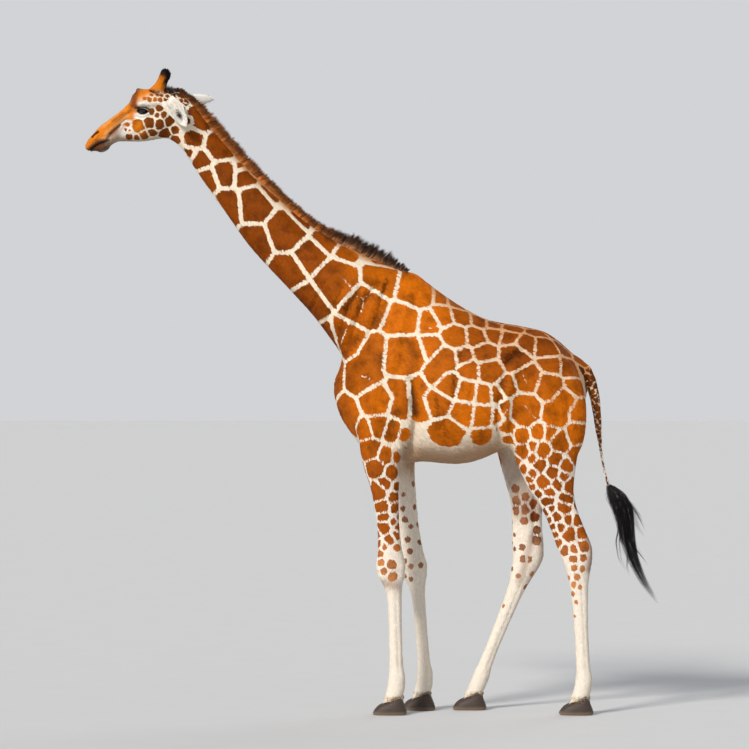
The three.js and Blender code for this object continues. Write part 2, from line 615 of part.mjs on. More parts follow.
const blades = [
  crossBlade([SKULL_CUT.x, SKULL_CUT.top], [SKULL_CUT.x, SKULL_CUT.bottom]),
  ...NECK_CUTS.map(neckBlade),
  crossBlade([CHEST_CUT.x, CHEST_CUT.top], [CHEST_CUT.x, CHEST_CUT.bottom]),
  crossBlade(LOIN_CUT.top, LOIN_CUT.bottom),
  ...Object.values(LEGS).flatMap(legBlades),
];

// ---------------------------------------------------------------- assembly
const legBodies = Object.values(LEGS).map((leg) => legLoft(leg, 10, 18).subtract(coronetBlock(leg, true)));
const body = join([
  trunkSolid(),
  neckSolid(),
  headSolid(),
  ...bothSides(shoulderSolid),
  ...bothSides(haunchSolid),
  ...legBodies,
]).asOriginal().simplify(FACET_SIZE);
const fleshPieces = body.subtract(join(blades)).subtract(headCuts()).decompose();

// A point inside each piece of the parted body.
const neckPoint = (rung) => {
  const { upper, lower } = NECK[rung];
  return [(upper[0] + lower[0]) / 2, 0, (upper[1] + lower[1]) / 2];
};
const between = (a, b) => a.map((value, axis) => (value + b[axis]) / 2);
const SEEDS = {
  head: [-1330, 0, 3700],
  neck_upper: neckPoint(3),
  neck_middle: neckPoint(6),
  neck_lower: neckPoint(9),
  chest: [100, 0, 2100],
  barrel: [600, 0, 2000],
  rump: [1050, 0, 2050],
};
for (const [name, { joints }] of Object.entries(LEGS)) {
  const [, elbow, knee, fetlock, hoof] = joints;
  SEEDS[`${name}_upper`] = between(elbow, knee);
  SEEDS[`${name}_cannon`] = between(knee, fetlock);
  SEEDS[`${name}_pastern`] = between(fetlock, hoof);
}

// Takes the body out of a part that stands on it, with a gap's width beyond it in the direction given
// and to both sides.
function clearOfBody(solid, direction) {
  const away = new THREE.Vector3(...direction).setLength(CUT_GAP);
  const shifts = [-CUT_GAP, 0, CUT_GAP].map((aside) => [away.x, away.y + aside, away.z]);
  const grown = join([body, ...shifts.map((shift) => body.translate(shift))]);
  const outside = solid.subtract(grown).asOriginal().simplify(CUT_GAP / 4).decompose();
  return outside.reduce((largest, piece) => (piece.volume() > largest.volume() ? piece : largest));
}

function pieceAt(seed) {
  const probe = ellipsoid(seed, [4, 4, 4], 0, 8);
  const found = fleshPieces.filter((piece) => piece.intersect(probe).volume() > 0);
  if (found.length !== 1) throw new Error(`${found.length} pieces hold the point ${seed}`);
  return found[0];
}

const solids = Object.fromEntries(Object.entries(SEEDS).map(([name, seed]) => [name, pieceAt(seed)]));
if (fleshPieces.length !== Object.keys(SEEDS).length) {
  throw new Error(`${fleshPieces.length} pieces for ${Object.keys(SEEDS).length} names`);
}

for (const [name, ear] of Object.entries(EARS)) solids[name] = clearOfBody(earSolid(ear), ear.tip);
for (const [name, side] of [['left', LEFT], ['right', RIGHT]]) {
  solids[`eye_${name}`] = eyeBall(side, EYE.radius);
  solids[`ossicone_${name}`] = clearOfBody(ossiconeSolid(side), [0, 0, 1]);
}
const manePieces = clearOfBody(maneSolid(), [0.6, 0, 0.8])
  .subtract(crossBlade(MANE_CUT.top, MANE_CUT.bottom))
  .decompose()
  .sort((a, b) => b.boundingBox().max[2] - a.boundingBox().max[2]);
[solids.mane_upper, solids.mane_lower] = manePieces;
Object.assign(solids, tailSolids());
for (const [name, leg] of Object.entries(LEGS)) {
  solids[`${name}_claw_outer`] = clawSolid(leg, Math.sign(leg.joints[0][1]));
  solids[`${name}_claw_inner`] = clawSolid(leg, -Math.sign(leg.joints[0][1]));
}

const FINISHES = {
  fur: { color: 0xb8742c, roughness: 0.85, metalness: 0 },
  pale: { color: 0xe6d9bd, roughness: 0.85, metalness: 0 },
  mane: { color: 0x7a3d1c, roughness: 0.9, metalness: 0 },
  black: { color: 0x17161b, roughness: 0.7, metalness: 0 },
  horn: { color: 0x4a4038, roughness: 0.5, metalness: 0 },
  eye: { color: 0x120c09, roughness: 0.08, metalness: 0 },
};
function finishOf(name) {
  if (name.startsWith('eye')) return 'eye';
  if (name.startsWith('mane')) return 'mane';
  if (name.includes('claw')) return 'horn';
  if (name === 'tail_tassel') return 'black';
  if (/cannon|pastern|ear|barrel/.test(name)) return 'pale';
  return 'fur';
}

const giraffe = new THREE.Group();
giraffe.name = 'giraffe';
for (const [name, solid] of Object.entries(solids)) {
  const mesh = new THREE.Mesh(geometryFrom(solid), new THREE.MeshStandardMaterial(FINISHES[finishOf(name)]));
  mesh.name = name;
  giraffe.add(mesh);
}

export default giraffe;
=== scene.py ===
"""A still, life-size giraffe in mid-step, dressed over its solids.

Metres. The giraffe faces -X, its left side is -Y and it stands on z = 0. One skin is made from the solids
of flesh, carved, and marked with a net of pale lines between brown patches. Tufts, mane and tail hair
grow from it as joined meshes and carry the same marks.
"""
import math

import bmesh
import bpy
import numpy as np
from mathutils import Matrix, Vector
from mathutils.bvhtree import BVHTree


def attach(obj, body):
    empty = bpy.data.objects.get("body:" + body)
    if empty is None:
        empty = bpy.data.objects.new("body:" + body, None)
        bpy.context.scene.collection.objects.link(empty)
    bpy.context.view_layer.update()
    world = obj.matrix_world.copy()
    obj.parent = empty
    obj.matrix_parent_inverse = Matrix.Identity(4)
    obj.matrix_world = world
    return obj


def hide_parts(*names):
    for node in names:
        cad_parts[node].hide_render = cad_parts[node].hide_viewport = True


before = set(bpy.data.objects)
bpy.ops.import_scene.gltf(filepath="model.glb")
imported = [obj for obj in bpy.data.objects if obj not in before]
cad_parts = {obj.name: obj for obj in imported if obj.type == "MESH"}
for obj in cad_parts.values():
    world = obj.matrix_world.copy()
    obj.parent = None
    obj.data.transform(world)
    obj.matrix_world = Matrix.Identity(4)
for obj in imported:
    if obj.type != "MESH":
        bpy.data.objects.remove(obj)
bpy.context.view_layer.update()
rng = np.random.default_rng(7)

# ---------------------------------------------------------------- sizes
PIXEL = 0.0062  # metres to a pixel of the photo's frame, at the giraffe
PIXEL_X0 = 372  # the pixel column of x = 0
PIXEL_Z0 = 712  # the pixel row of z = 0

SKIN_VOXEL = 0.0088
GAP_CLOSER = 0.0006  # the solids swell by this, so that the skin closes their thin cuts
SIDES = ("left", "right")
LEGS = [f"{pair}leg_{side}" for pair in ("fore", "hind") for side in SIDES]
FLESH = ["head", "neck_upper", "neck_middle", "neck_lower", "chest", "barrel", "rump", "tail_dock"]
FLESH += [f"{leg}_{part}" for leg in LEGS for part in ("upper", "cannon", "pastern")]

EYE = Vector((-1.417, 0.080, 3.724))
EYE_RADIUS = 0.0265
OSSICONE_FOOT = (-1.332, 0.046, 3.832)
EYE_SLIT = (0.0325, 0.0112, 0.0145)  # half its length, and its height above and below its middle
EYE_TILT = 0.15  # radians, front corner up
SLIT_POWER = 1.7  # its outline is an oval at 2 and pointed below that
LID = 0.0035
LIDS_REACH = 0.06  # how far from the eye's middle the lids are shaped
LIDS_FADE = (0.019, 0.036)  # where they leave the ball for the face
LIDS_FROM_MIDDLE = 0.03  # they lie farther than this from the middle of the head
SOCKET_DEPTH = 0.014
SOCKET_GAP = 0.004

# The limbs, as middle lines from their roots to their ends: x, y, z and the flesh's radius about it.
# The lines of the legs are worked out from their joints.
FORELEG_RADII = (0.17, 0.13, 0.082, 0.072, 0.046, 0.046, 0.058, 0.06)
HINDLEG_RADII = (0.26, 0.17, 0.098, 0.088, 0.05, 0.046, 0.057, 0.06)
LEG_JOINTS = {
    "foreleg_left": [(0.05, -0.172, 1.93), (0.076, -0.172, 1.612), (0.124, -0.168, 0.893),
                     (0.15, -0.165, 0.196), (0.122, -0.165, 0.02)],
    "foreleg_right": [(0.13, 0.172, 1.93), (0.174, 0.172, 1.612), (0.268, 0.16, 0.88),
                      (0.33, 0.15, 0.196), (0.302, 0.15, 0.02)],
    "hindleg_left": [(1.05, -0.155, 1.81), (1.078, -0.158, 1.5), (1.262, -0.165, 0.973),
                     (1.302, -0.17, 0.196), (1.268, -0.17, 0.02)],
    "hindleg_right": [(0.96, 0.155, 1.81), (0.97, 0.158, 1.5), (0.97, 0.165, 0.942),
                      (0.672, 0.175, 0.196), (0.622, 0.175, 0.02)],
}
LEG_SHARES = (0, 1, 1.6, 2, 2.2, 2.8, 3, 4)  # where along the joints the radii stand
LIMBS = {
    "head": [(-1.19, 0, 3.69, 0.13), (-1.36, 0, 3.71, 0.14), (-1.53, 0, 3.64, 0.095),
             (-1.66, 0, 3.565, 0.065), (-1.775, 0, 3.505, 0.045)],
    "neck": [(-1.19, 0, 3.69, 0.13), (-1.11, 0, 3.585, 0.12), (-0.9335, 0, 3.347, 0.13),
             (-0.6835, 0, 3.052, 0.16), (-0.396, 0, 2.78, 0.21), (-0.1, 0, 2.55, 0.27),
             (0.06, 0, 2.41, 0.3)],
    "trunk": [(-0.13, 0, 2.06, 0.24), (0.1, 0, 2.15, 0.44), (0.4, 0, 2.1, 0.5), (0.7, 0, 2.02, 0.45),
              (0.95, 0, 2.04, 0.38), (1.15, 0, 2.04, 0.3), (1.28, 0, 2.03, 0.18)],
    "tail": [(1.298, 0, 2.136, 0.048), (1.352, 0, 2.06, 0.036), (1.386, 0, 1.93, 0.027),
             (1.402, 0, 1.78, 0.019), (1.42, 0, 1.62, 0.014), (1.444, 0, 1.48, 0.013),
             (1.476, 0, 1.388, 0.015)],
}


def along_joints(joints, share):
    """The point at a share along a leg, where whole numbers are its joints and its end."""
    first = min(int(share), len(joints) - 2)
    return tuple(np.array(joints[first]) + (share - first) * np.subtract(joints[first + 1], joints[first]))


for leg, joints in LEG_JOINTS.items():
    radii = FORELEG_RADII if leg.startswith("fore") else HINDLEG_RADII
    LIMBS[leg] = [along_joints(joints, s) + (r,) for s, r in zip(LEG_SHARES, radii)]
LIMB_NAMES = list(LIMBS)

# The unwrap: each limb is rolled out into its own rectangle, [left, bottom, width, height].
CHARTS = {
    "trunk": (0.01, 0.52, 0.60, 0.46),
    "neck": (0.64, 0.46, 0.34, 0.52),
    "head": (0.64, 0.24, 0.24, 0.19),
    "tail": (0.90, 0.24, 0.08, 0.19),
    "foreleg_left": (0.01, 0.02, 0.145, 0.46),
    "foreleg_right": (0.165, 0.02, 0.145, 0.46),
    "hindleg_left": (0.32, 0.02, 0.145, 0.46),
    "hindleg_right": (0.475, 0.02, 0.145, 0.46),
}
TUFT_PATCH = 0.003  # a tuft's width on the unwrap

# ---------------------------------------------------------------- markings
# Centre and inner radius of each patch on the left side, in pixels of the photo's frame. A long patch
# is a list of centres.
PATCHES = {
    "neck": [
        [(191.5, 112, 6), (200, 122, 8)], (193, 140, 9), (186, 154, 5), (201, 159, 8), (219, 146, 13),
        (225, 174, 10), (245, 176, 9), (208, 180, 9), (228, 207, 15), (254, 205, 16), (286, 232, 18),
        (255, 243, 16), (287, 271, 15), (310, 255, 14), (309, 304, 16), (338, 281, 20), (331, 336, 10),
        (247, 167, 6), (270, 193, 7), (299, 221, 7), (325, 242, 9), (347, 254, 7), (378, 262, 5),
    ],
    "shoulder": [
        (381, 281, 18), (415, 290, 20), (366, 306, 21), (402, 319, 17), (428, 323, 11), (438, 296, 8),
        (348, 340, 17), [(372, 354, 16), (360, 373, 20)], (403, 356, 21), (337, 378, 13), (349, 413, 16),
        (375, 400, 14), [(399, 387, 8), (400, 407, 8)], [(416, 386, 8), (418, 408, 8)],
    ],
    "ribs": [
        (455, 304, 6), (442, 317, 10), (460, 317, 9), (479, 322, 7), (493, 321, 6), (429, 347, 10),
        [(434, 374, 9), (443, 360, 11)], (454, 336, 11), (475, 337, 9), (493, 335, 8), (462, 357, 6),
        (484, 354, 10), (469, 371, 9), (447, 387, 12), (464, 391, 11), (488, 371, 12), (482, 394, 9),
        (494, 393, 7), (438, 402, 12), (461, 412, 11), (481, 415, 10), (495, 415, 6), (447, 431, 12),
        (481, 437, 8),
    ],
    "rump": [
        (511, 328, 7), (536, 332, 8), (507, 338, 8), (524, 346, 9), (545, 349, 11), (513, 358, 14),
        (505, 386, 8), (526, 378, 13), (549, 365, 11), (547, 385, 13), (523, 410, 15),
        [(562, 400, 11), (553, 414, 12)], [(505, 410, 7), (506, 427, 7)], (561, 349, 7), (568, 368, 11),
        (573, 386, 9), (578, 410, 10), (575, 434, 10), (583, 362, 8),
    ],
    "thigh": [
        (507, 440, 6), (519, 436, 7), (537, 431, 6), (548, 432, 6), (558, 441, 9), (521, 450, 7),
        (531, 446, 4), (541, 450, 7), (575, 454, 9), (553, 458, 6), (565, 465, 6), (516, 461, 5),
        (531, 457, 4), (538, 464, 6), (521, 468, 4), (531, 473, 4), (529, 479, 4), (550, 472, 6),
        (541, 481, 7), (562, 476, 5), (556, 483, 5), (569, 486, 8), (531, 486, 4), (536, 492, 4),
        (547, 491, 5), (565, 497, 6), (546, 500, 5), (562, 507, 6), (575, 504, 6), (544, 512, 4),
        (549, 507, 3), (547, 519, 4), (556, 515, 5), (566, 519, 5), (576, 520, 5), (551, 526, 4),
        (553, 533, 4), (560, 526, 5), (568, 532, 7), (579, 531, 6), (556, 542, 4), (563, 549, 4),
        (572, 548, 4), (572, 557, 3.5), (581, 545, 5), (573, 566, 3), (575, 575, 2.5), (572, 583, 2.5),
        (581, 556, 3), (580, 567, 2.4), (567, 576, 2), (578, 585, 1.8), (571, 592, 2), (574, 600, 1.6),
        (569, 606, 1.5), (573, 614, 1.3),
    ],
    "arm": [
        (364, 430, 9), (378, 426, 9), (391, 430, 8), (369, 449, 10), (385, 455, 7), (375, 467, 9),
        (363, 468, 7), (391, 472, 6), (397, 455, 5), (366, 481, 6), (376, 491, 9), (384, 482, 5),
        (397, 486, 4), (395, 496, 5), (381, 506, 6), (396, 506, 5), (383, 516, 5), (394, 520, 3),
        (398, 515, 3), (383, 526, 6), (398, 525, 4), (378, 533, 4), (390, 538, 4.5), (396, 534, 3.5),
        (379, 542, 3), (384, 545, 2.5), (380, 552, 3), (397, 546, 3), (391, 563, 4), (381, 561, 3),
        (384, 569, 3), (392, 574, 4), (404, 434, 5), (405, 449, 4),
    ],
    "far_arm": [
        (404, 495, 2.6), (403, 509, 3), (405, 520, 3.4), (411, 527, 2.6), (408, 540, 3.4), (418, 507, 3),
        (410, 552, 3.2), (405, 562, 2.8), (411, 567, 3), (405, 577, 2.8), (411, 580, 2.6), (420, 543, 3),
        (421, 566, 3), (417, 484, 3), (418, 525, 3),
    ],
    "far_thigh": [
        (516, 489, 4), (517, 501, 4.5), (526, 497, 4), (517, 511, 4.5), (526, 510, 5), (534, 505, 5),
        (535, 517, 5), (525, 521, 4), (538, 541, 4.5), (538, 531, 4), (510, 550, 2.5), (523, 548, 3),
        (524, 560, 3.5), (530, 560, 3), (513, 570, 2.2), (519, 577, 2.5), (527, 588, 3), (533, 575, 2.5),
        (511, 536, 2),
    ],
    "head": [
        (151, 124.2, 4.6), (160.3, 125, 4.4), (153, 113, 2.5), (160, 110, 3), (158, 116, 2.2),
        (164, 116, 2.8), (169.5, 121.5, 4.2), (129.8, 137.2, 2.8), (137, 138, 2.5), (144, 136, 4),
        (153, 133.5, 3.6), (165, 134, 5.0), (175.5, 130.5, 3.2), (175.5, 140, 4), (138.5, 127.5, 5.4),
        (127.5, 125.5, 1.7), (126.5, 130, 1.4), (130, 131, 1.0), (187.5, 121, 2.8),
    ],
    "crown": [
        (145, 99.8, 1.7), (150.5, 100, 2.3), (155.5, 100.6, 1.8), (160.7, 100.4, 2.2), (155, 93.6, 2.2),
        (158.4, 95.6, 1.8), (161.8, 96.6, 1.8), (161, 91.8, 2.2), (165.8, 93, 2.4), (167.5, 96.8, 2.2),
        (171.4, 92.6, 2.4), (173.5, 96.6, 2.3), (177, 91, 2.6), (180.6, 95.8, 3.6), (176, 101.5, 1.8),
        (171, 100, 1.6), (185.7, 102, 2.8), (151.8, 96.2, 1.6), (184, 108.5, 2.6), (190.5, 100, 2.8),
        (187, 95.5, 2.5), (166, 100.5, 1.4),
    ],
}
FAR_REGIONS = ("far_arm", "far_thigh")  # read on the inner sides of the far legs
LEG_OF_REGION = {"thigh": "hindleg_left", "arm": "foreleg_left", "far_arm": "foreleg_right",
                 "far_thigh": "hindleg_right"}
LEG_TOP = 1.72  # a leg's patches follow its stride below this height
PATCH_TONES = (0.84, 1.12)  # the darkest and the palest patch
# Half the pale line between patches, in pixels, and how far a patch reaches, in inner radii.
LINES = {
    "neck": (2.2, 1.75), "shoulder": (2.0, 1.75), "ribs": (1.7, 1.75), "rump": (1.6, 1.75),
    "thigh": (1.3, 1.4), "arm": (1.3, 1.4), "far_arm": (0.9, 1.0), "far_thigh": (1.2, 1.15),
    "head": (0.85, 1.4), "crown": (0.65, 1.4),
}
# A patch and its mate on the far side: how far the mate strays, and how often the two are one patch
# where they meet at the middle.
MATE_SHIFT = 0.13
JOIN_WITHIN = 0.22  # metres from the middle
JOINED_SHARE = 0.6
# Patches on the middle of the back: column and radius, in pixels.
BACK_PATCHES = [(497, 6), (513, 7), (530, 7.5), (547, 7.5), (563, 7)]
TAIL_SPOTS = 72
TAIL_SPOTS_END = 0.93  # how far down the tail they go
TAIL_SPOT = 0.011  # their radius is this and a share of the tail's own
TAIL_SPOT_GROWS = 0.30
TAIL_LINE = 0.0032  # half the line between them
TAIL_TONES = (0.22, 0.5)
# Short pale lines that run into a patch without parting it, in pixels.
CRACKS = [
    [(340, 277), (346, 282), (351, 288)], [(357, 297), (364, 299), (373, 292)], [(364, 299), (361, 313)],
    [(350, 320), (346, 332), (341, 344)], [(360, 376), (367, 377), (373, 381)], [(428, 329), (439, 326)],
    [(522, 405), (528, 412), (536, 420)], [(505.5, 409.5), (499, 420)], [(521, 375), (525, 384)],
    [(463, 345), (460, 352)],
]
CRACK_HALF = 0.55
# The pale line along the foot of the mane.
MANE_LINE = [
    (199, 105), (213, 125), (230, 147), (251, 174), (276, 196), (291, 209), (316, 226), (337, 242),
    (363, 256), (380, 262), (404, 268), (424, 278),
]
MANE_LINE_HALF = 0.9

# Where one part's marks fade into the next's: x for the rear, neck and head, and height for the others.
REAR_FADE = (0.25, 0.8)
NECK_FADE = (0.10, -0.40)
HEAD_FADE = (-1.16, -1.24)
BACK_FADE = (1.92, 2.25)
LEG_FADE = (1.45, 1.75)
SHIN_FADE = (1.15, 0.85)
LINES_ABOVE = 1.6  # cracks and the mane's line are drawn above this height
BELLY_TURN = (-0.35, -0.85)  # how far a surface faces down where the belly's patches end
BELLY_BARE = 0.05  # how far the patches draw back under the belly and inside the legs
INNER_BARE = 0.04

# Colours as seen in daylight, 0 to 255.
CREAM = (238, 222, 198)
LEG_CREAM = (238, 226, 210)
TAN = (204, 142, 84)
BELLY = (176, 140, 108)
# The grey-brown of the inner thighs is painted shade, as if cast by the belly.
INNER_THIGH_SHADE = (156, 132, 116)
PATCH = (198, 101, 4)
PATCH_NECK = (126, 57, 3)
# The darker brown of the back and rump is their own tone and, over the rear, partly painted shade.
PATCH_BACK = (124, 57, 6)
PATCH_HEAD = (126, 64, 16)
PATCH_LEG = (164, 82, 14)
PATCH_SHIN = (196, 128, 76)
ORANGE = (222, 125, 22)
HORN_BROWN = (126, 62, 20)
DARK = (44, 22, 12)
BLACK = (16, 13, 14)
LIP = (72, 42, 28)
PALE_ORANGE = (226, 160, 92)
GREY = (150, 122, 100)
WHITE = (248, 244, 236)

# Washes of colour over the patches: colour, strength, width and a line, in the photo's pixels.
PATCH_WASHES = [
    (ORANGE, 1.0, 7, [(138, 126), (138, 129)]),
    (ORANGE, 1.0, 3, [(126, 126), (130, 131)]),
    (ORANGE, 0.7, 6, [(145, 100), (160, 98)]),
    # painted shade under the ear
    (DARK, 0.6, 5, [(184, 104), (186, 122)]),
    (PATCH_BACK, 0.9, 9, [(538, 498), (536, 520)]),
    (DARK, 0.5, 3, [(357, 293), (350, 303), (345, 309)]),  # painted shade in the folds of the neck's base
    (DARK, 0.45, 3, [(369, 294), (362, 303), (357, 312)]),
    (DARK, 0.5, 2.5, [(378, 312), (374, 322), (371, 331)]),
    (DARK, 0.4, 3, [(387, 281), (383, 290), (380, 297)]),
    (DARK, 0.5, 3, [(357, 336), (350, 346), (344, 354)]),
    (DARK, 0.4, 3, [(345, 325), (340, 336), (335, 345)]),
    (DARK, 0.35, 5, [(410, 344), (411, 356), (409, 370)]),  # painted shade behind the shoulder blade
    (DARK, 0.3, 4, [(377, 352), (379, 362), (378, 371)]),
    (DARK, 0.85, 4.5, [(408, 381), (411, 394), (414, 412)]),  # painted shade behind the elbow
    (DARK, 0.55, 5, [(396, 410), (391, 420), (386, 429)]),
    (DARK, 0.55, 1.6, [(460, 353), (456, 362), (454, 369)]),  # painted shade between the ribs
    (DARK, 0.6, 1.8, [(453.5, 372), (452, 385), (451.5, 398)]),
    (DARK, 0.5, 1.8, [(434.5, 395), (435.5, 405), (436, 417)]),
    (DARK, 0.45, 1.8, [(441, 417), (442.5, 426), (444, 435)]),
    (DARK, 0.6, 4, [(506, 361), (512, 355.5), (518, 351.5)]),  # painted shade in the hollow of the flank
    (DARK, 0.6, 3.5, [(500.5, 378), (499.5, 392), (499, 406)]),
    (DARK, 0.7, 3.5, [(182, 92), (190, 97), (200, 110)]),  # painted shade under the front of the mane
    (DARK, 0.9, 0.9, [(150.5, 91.5), (155, 93), (159.5, 94)]),  # painted shade in the crease before the ossicone
]
# Washes of colour over the pale ground: colour, strength, width and a line, in the photo's pixels.
WASHES = [
    (ORANGE, 1.0, 8, [(90, 143), (104, 130), (118, 119), (130, 108)]),
    (ORANGE, 1.0, 4, [(86, 150), (90, 144)]),
    (ORANGE, 1.0, 6, [(98, 137), (112, 127), (124, 116), (131, 115)]),
    (ORANGE, 1.0, 7, [(137, 96), (148, 91), (158, 88)]),
    (ORANGE, 0.75, 6, [(126, 113), (131, 118), (134, 113)]),
    (HORN_BROWN, 0.95, 4.2, [(137, 90), (134, 97), (134, 106)]),
    (HORN_BROWN, 0.6, 1.5, [(136, 99), (135, 107), (139, 108)]),
    # painted shade in the crease of the cheek
    (HORN_BROWN, 0.85, 3.0, [(125, 121), (119, 127), (112, 134)]),
    (DARK, 0.8, 1.2, [(124, 122), (118, 127.5), (111, 134), (107.5, 140)]),
    (HORN_BROWN, 0.7, 1.4, [(131, 111), (124, 117), (116, 124), (109, 131)]),
    # painted highlights along the ridges of the nose and face
    (PALE_ORANGE, 0.8, 1.6, [(128, 116), (120, 122.5), (113, 128), (105, 134)]),
    (PALE_ORANGE, 0.7, 1.8, [(124, 108.5), (114, 117), (104, 126)]),
    (WHITE, 0.75, 1.1, [(131, 122), (126, 121.5), (122, 124.5)]),
    (WHITE, 0.75, 1.1, [(122, 127), (119, 132), (114, 138)]),
    (HORN_BROWN, 0.5, 1.8, [(113, 121), (118, 118), (123, 114)]),
    (LIP, 0.95, 2.6, [(106, 142), (98, 143), (91, 149)]),
    (LIP, 0.95, 6.0, [(107, 147), (97, 150)]),
    (HORN_BROWN, 0.75, 2.2, [(97, 147.5), (103, 145)]),
    # painted shade in the nostril's slit and along the line of the mouth
    (DARK, 1.0, 1.3, [(92.5, 137.2), (95.2, 134.2), (98.2, 132.2)]),
    (DARK, 1.0, 1.5, [(88, 152), (91.5, 149.6), (97, 145.4), (103.6, 142.6), (109, 141)]),
    (DARK, 0.85, 1.7, [(85, 152), (88, 150.5)]),
    (GREY, 0.8, 4.0, [(128, 141), (118, 139), (110, 144)]),
    (GREY, 0.6, 3.5, [(122, 132), (112, 139)]),
    (GREY, 0.55, 3.2, [(130, 141.5), (145, 141.5), (158, 139)]),
    (WHITE, 0.8, 2.8, [(142, 106), (147, 105), (153, 105)]),
    (WHITE, 0.9, 3.4, [(160, 104.5), (172, 105)]),
    (WHITE, 0.9, 3.5, [(138, 117), (146, 117)]),
    (WHITE, 0.8, 4.0, [(124, 133), (130, 131)]),
    (DARK, 1.0, 1.5, [(136.5, 109), (139, 109), (143, 108.2), (147, 108.6), (150.5, 110.5)]),
    (DARK, 1.0, 1.3, [(138, 112), (142, 114.6), (146, 114.2), (150.5, 111.5)]),
    (GREY, 0.6, 2.4, [(150, 107), (154, 106), (160, 106)]),
    (BLACK, 1.0, 3.6, [(160, 87.5), (166, 87.5), (174, 87.5)]),
    (BELLY, 1.0, 17, [(412, 458), (450, 462), (492, 452)]),
    # painted shade in the fold behind the elbow
    (GREY, 0.7, 4, [(412, 418), (409, 436), (404, 458)]),
    (DARK, 0.55, 3, [(410, 396), (412, 408)]),
    # painted shade in the crease before the ossicone
    (DARK, 0.9, 1.0, [(150.5, 91.5), (155, 93), (159.5, 94)]),
    (TAN, 0.9, 16, [(432, 282), (462, 305), (500, 324), (550, 336), (585, 366)]),
    (TAN, 0.45, 26, [(480, 345), (530, 365), (572, 400)]),
    (TAN, 0.9, 4, MANE_LINE),
    (HORN_BROWN, 0.8, 3, [(x, y - 5) for x, y in MANE_LINE]),
    (HORN_BROWN, 0.45, 5, [(384, 581), (396, 583)]),
    # painted shade at the back of the near hock
    (HORN_BROWN, 0.6, 5, [(586, 535), (591, 550), (588, 566)]),
    (HORN_BROWN, 0.4, 4, [(533, 536), (528, 558), (521, 582)]),
    (HORN_BROWN, 0.35, 4, [(543, 540), (543, 562), (532, 582)]),
]

# ---------------------------------------------------------------- carving
# Strokes on both sides of the trunk, neck and head: height (metres, below 0 for a groove), half width
# (metres) and a line in the photo's pixels.
STROKES = [
    (-0.0165, 0.016, [(503, 372), (498, 392), (496, 420), (499, 444)]),  # flank fold
    (0.018, 0.030, [(511, 372), (505, 392), (503, 420), (505, 440)]),
    (-0.020, 0.018, [(504, 363), (511, 355), (519, 351)]),  # hollow of the flank
    (0.0135, 0.035, [(520, 340), (540, 340), (556, 352)]),  # point of the hip
    (-0.026, 0.024, [(409, 380), (412, 400), (413, 425), (411, 452)]),  # behind the elbow
    (0.020, 0.034, [(400, 398), (400, 425), (398, 445)]),
    (-0.012, 0.020, [(417, 345), (418, 372)]),  # behind the shoulder
    (0.012, 0.028, [(408, 300), (398, 335), (392, 365)]),  # spine of the shoulder blade
    (-0.009, 0.018, [(388, 300), (384, 330), (386, 352)]),
    (-0.013, 0.013, [(372, 290), (361, 308), (349, 345)]),  # folds where the neck meets the shoulder
    (0.010, 0.013, [(366, 288), (355, 308), (343, 342)]),
    (-0.013, 0.012, [(360, 288), (349, 306), (337, 338)]),
    (0.009, 0.012, [(352, 286), (341, 306), (331, 330)]),
    (-0.010, 0.011, [(343, 288), (334, 304), (325, 322)]),
    (-0.012, 0.011, [(388, 280), (376, 316), (366, 340)]),
    (0.008, 0.012, [(382, 284), (369, 314), (360, 338)]),
    (-0.010, 0.012, [(325, 282), (318, 296), (310, 310)]),
    (0.012, 0.045, [(250, 190), (300, 245), (345, 300)]),  # long muscle of the neck
    (-0.0075, 0.022, [(232, 196), (272, 246), (310, 290)]),
    (-0.009, 0.020, [(395, 378), (398, 400), (396, 425)]),  # triceps
    (0.009, 0.030, [(372, 385), (372, 410), (376, 432)]),
    (-0.009, 0.013, [(432, 380), (435, 400), (440, 428)]),  # ribs
    (-0.009, 0.011, [(460, 352), (454, 370), (451, 398)]),
    (-0.006, 0.012, [(470, 372), (468, 394), (470, 418)]),
    (0.005, 0.016, [(444, 366), (443, 390), (445, 414)]),
    (-0.009, 0.028, [(560, 372), (566, 405), (566, 440)]),  # back of the thigh
    (0.0105, 0.035, [(540, 372), (545, 405), (545, 440)]),
    (-0.0075, 0.020, [(528, 420), (524, 445), (520, 460)]),
]
# Strokes across the middle of the head, on every side of it.
CROWN_STROKES = [
    (0.021, 0.011, [(138.0, 87.2), (136.8, 88.8)]),  # horn of the forehead
    (0.004, 0.016, [(134, 96), (132, 103)]),
    (-0.005, 0.017, [(145, 88), (150, 88)]),
    (-0.004, 0.016, [(122, 110), (116, 115)]),
    (0.003, 0.016, [(104, 124), (96, 130)]),
    (0.009, 0.015, [(100, 151), (107, 147)]),  # chin
]
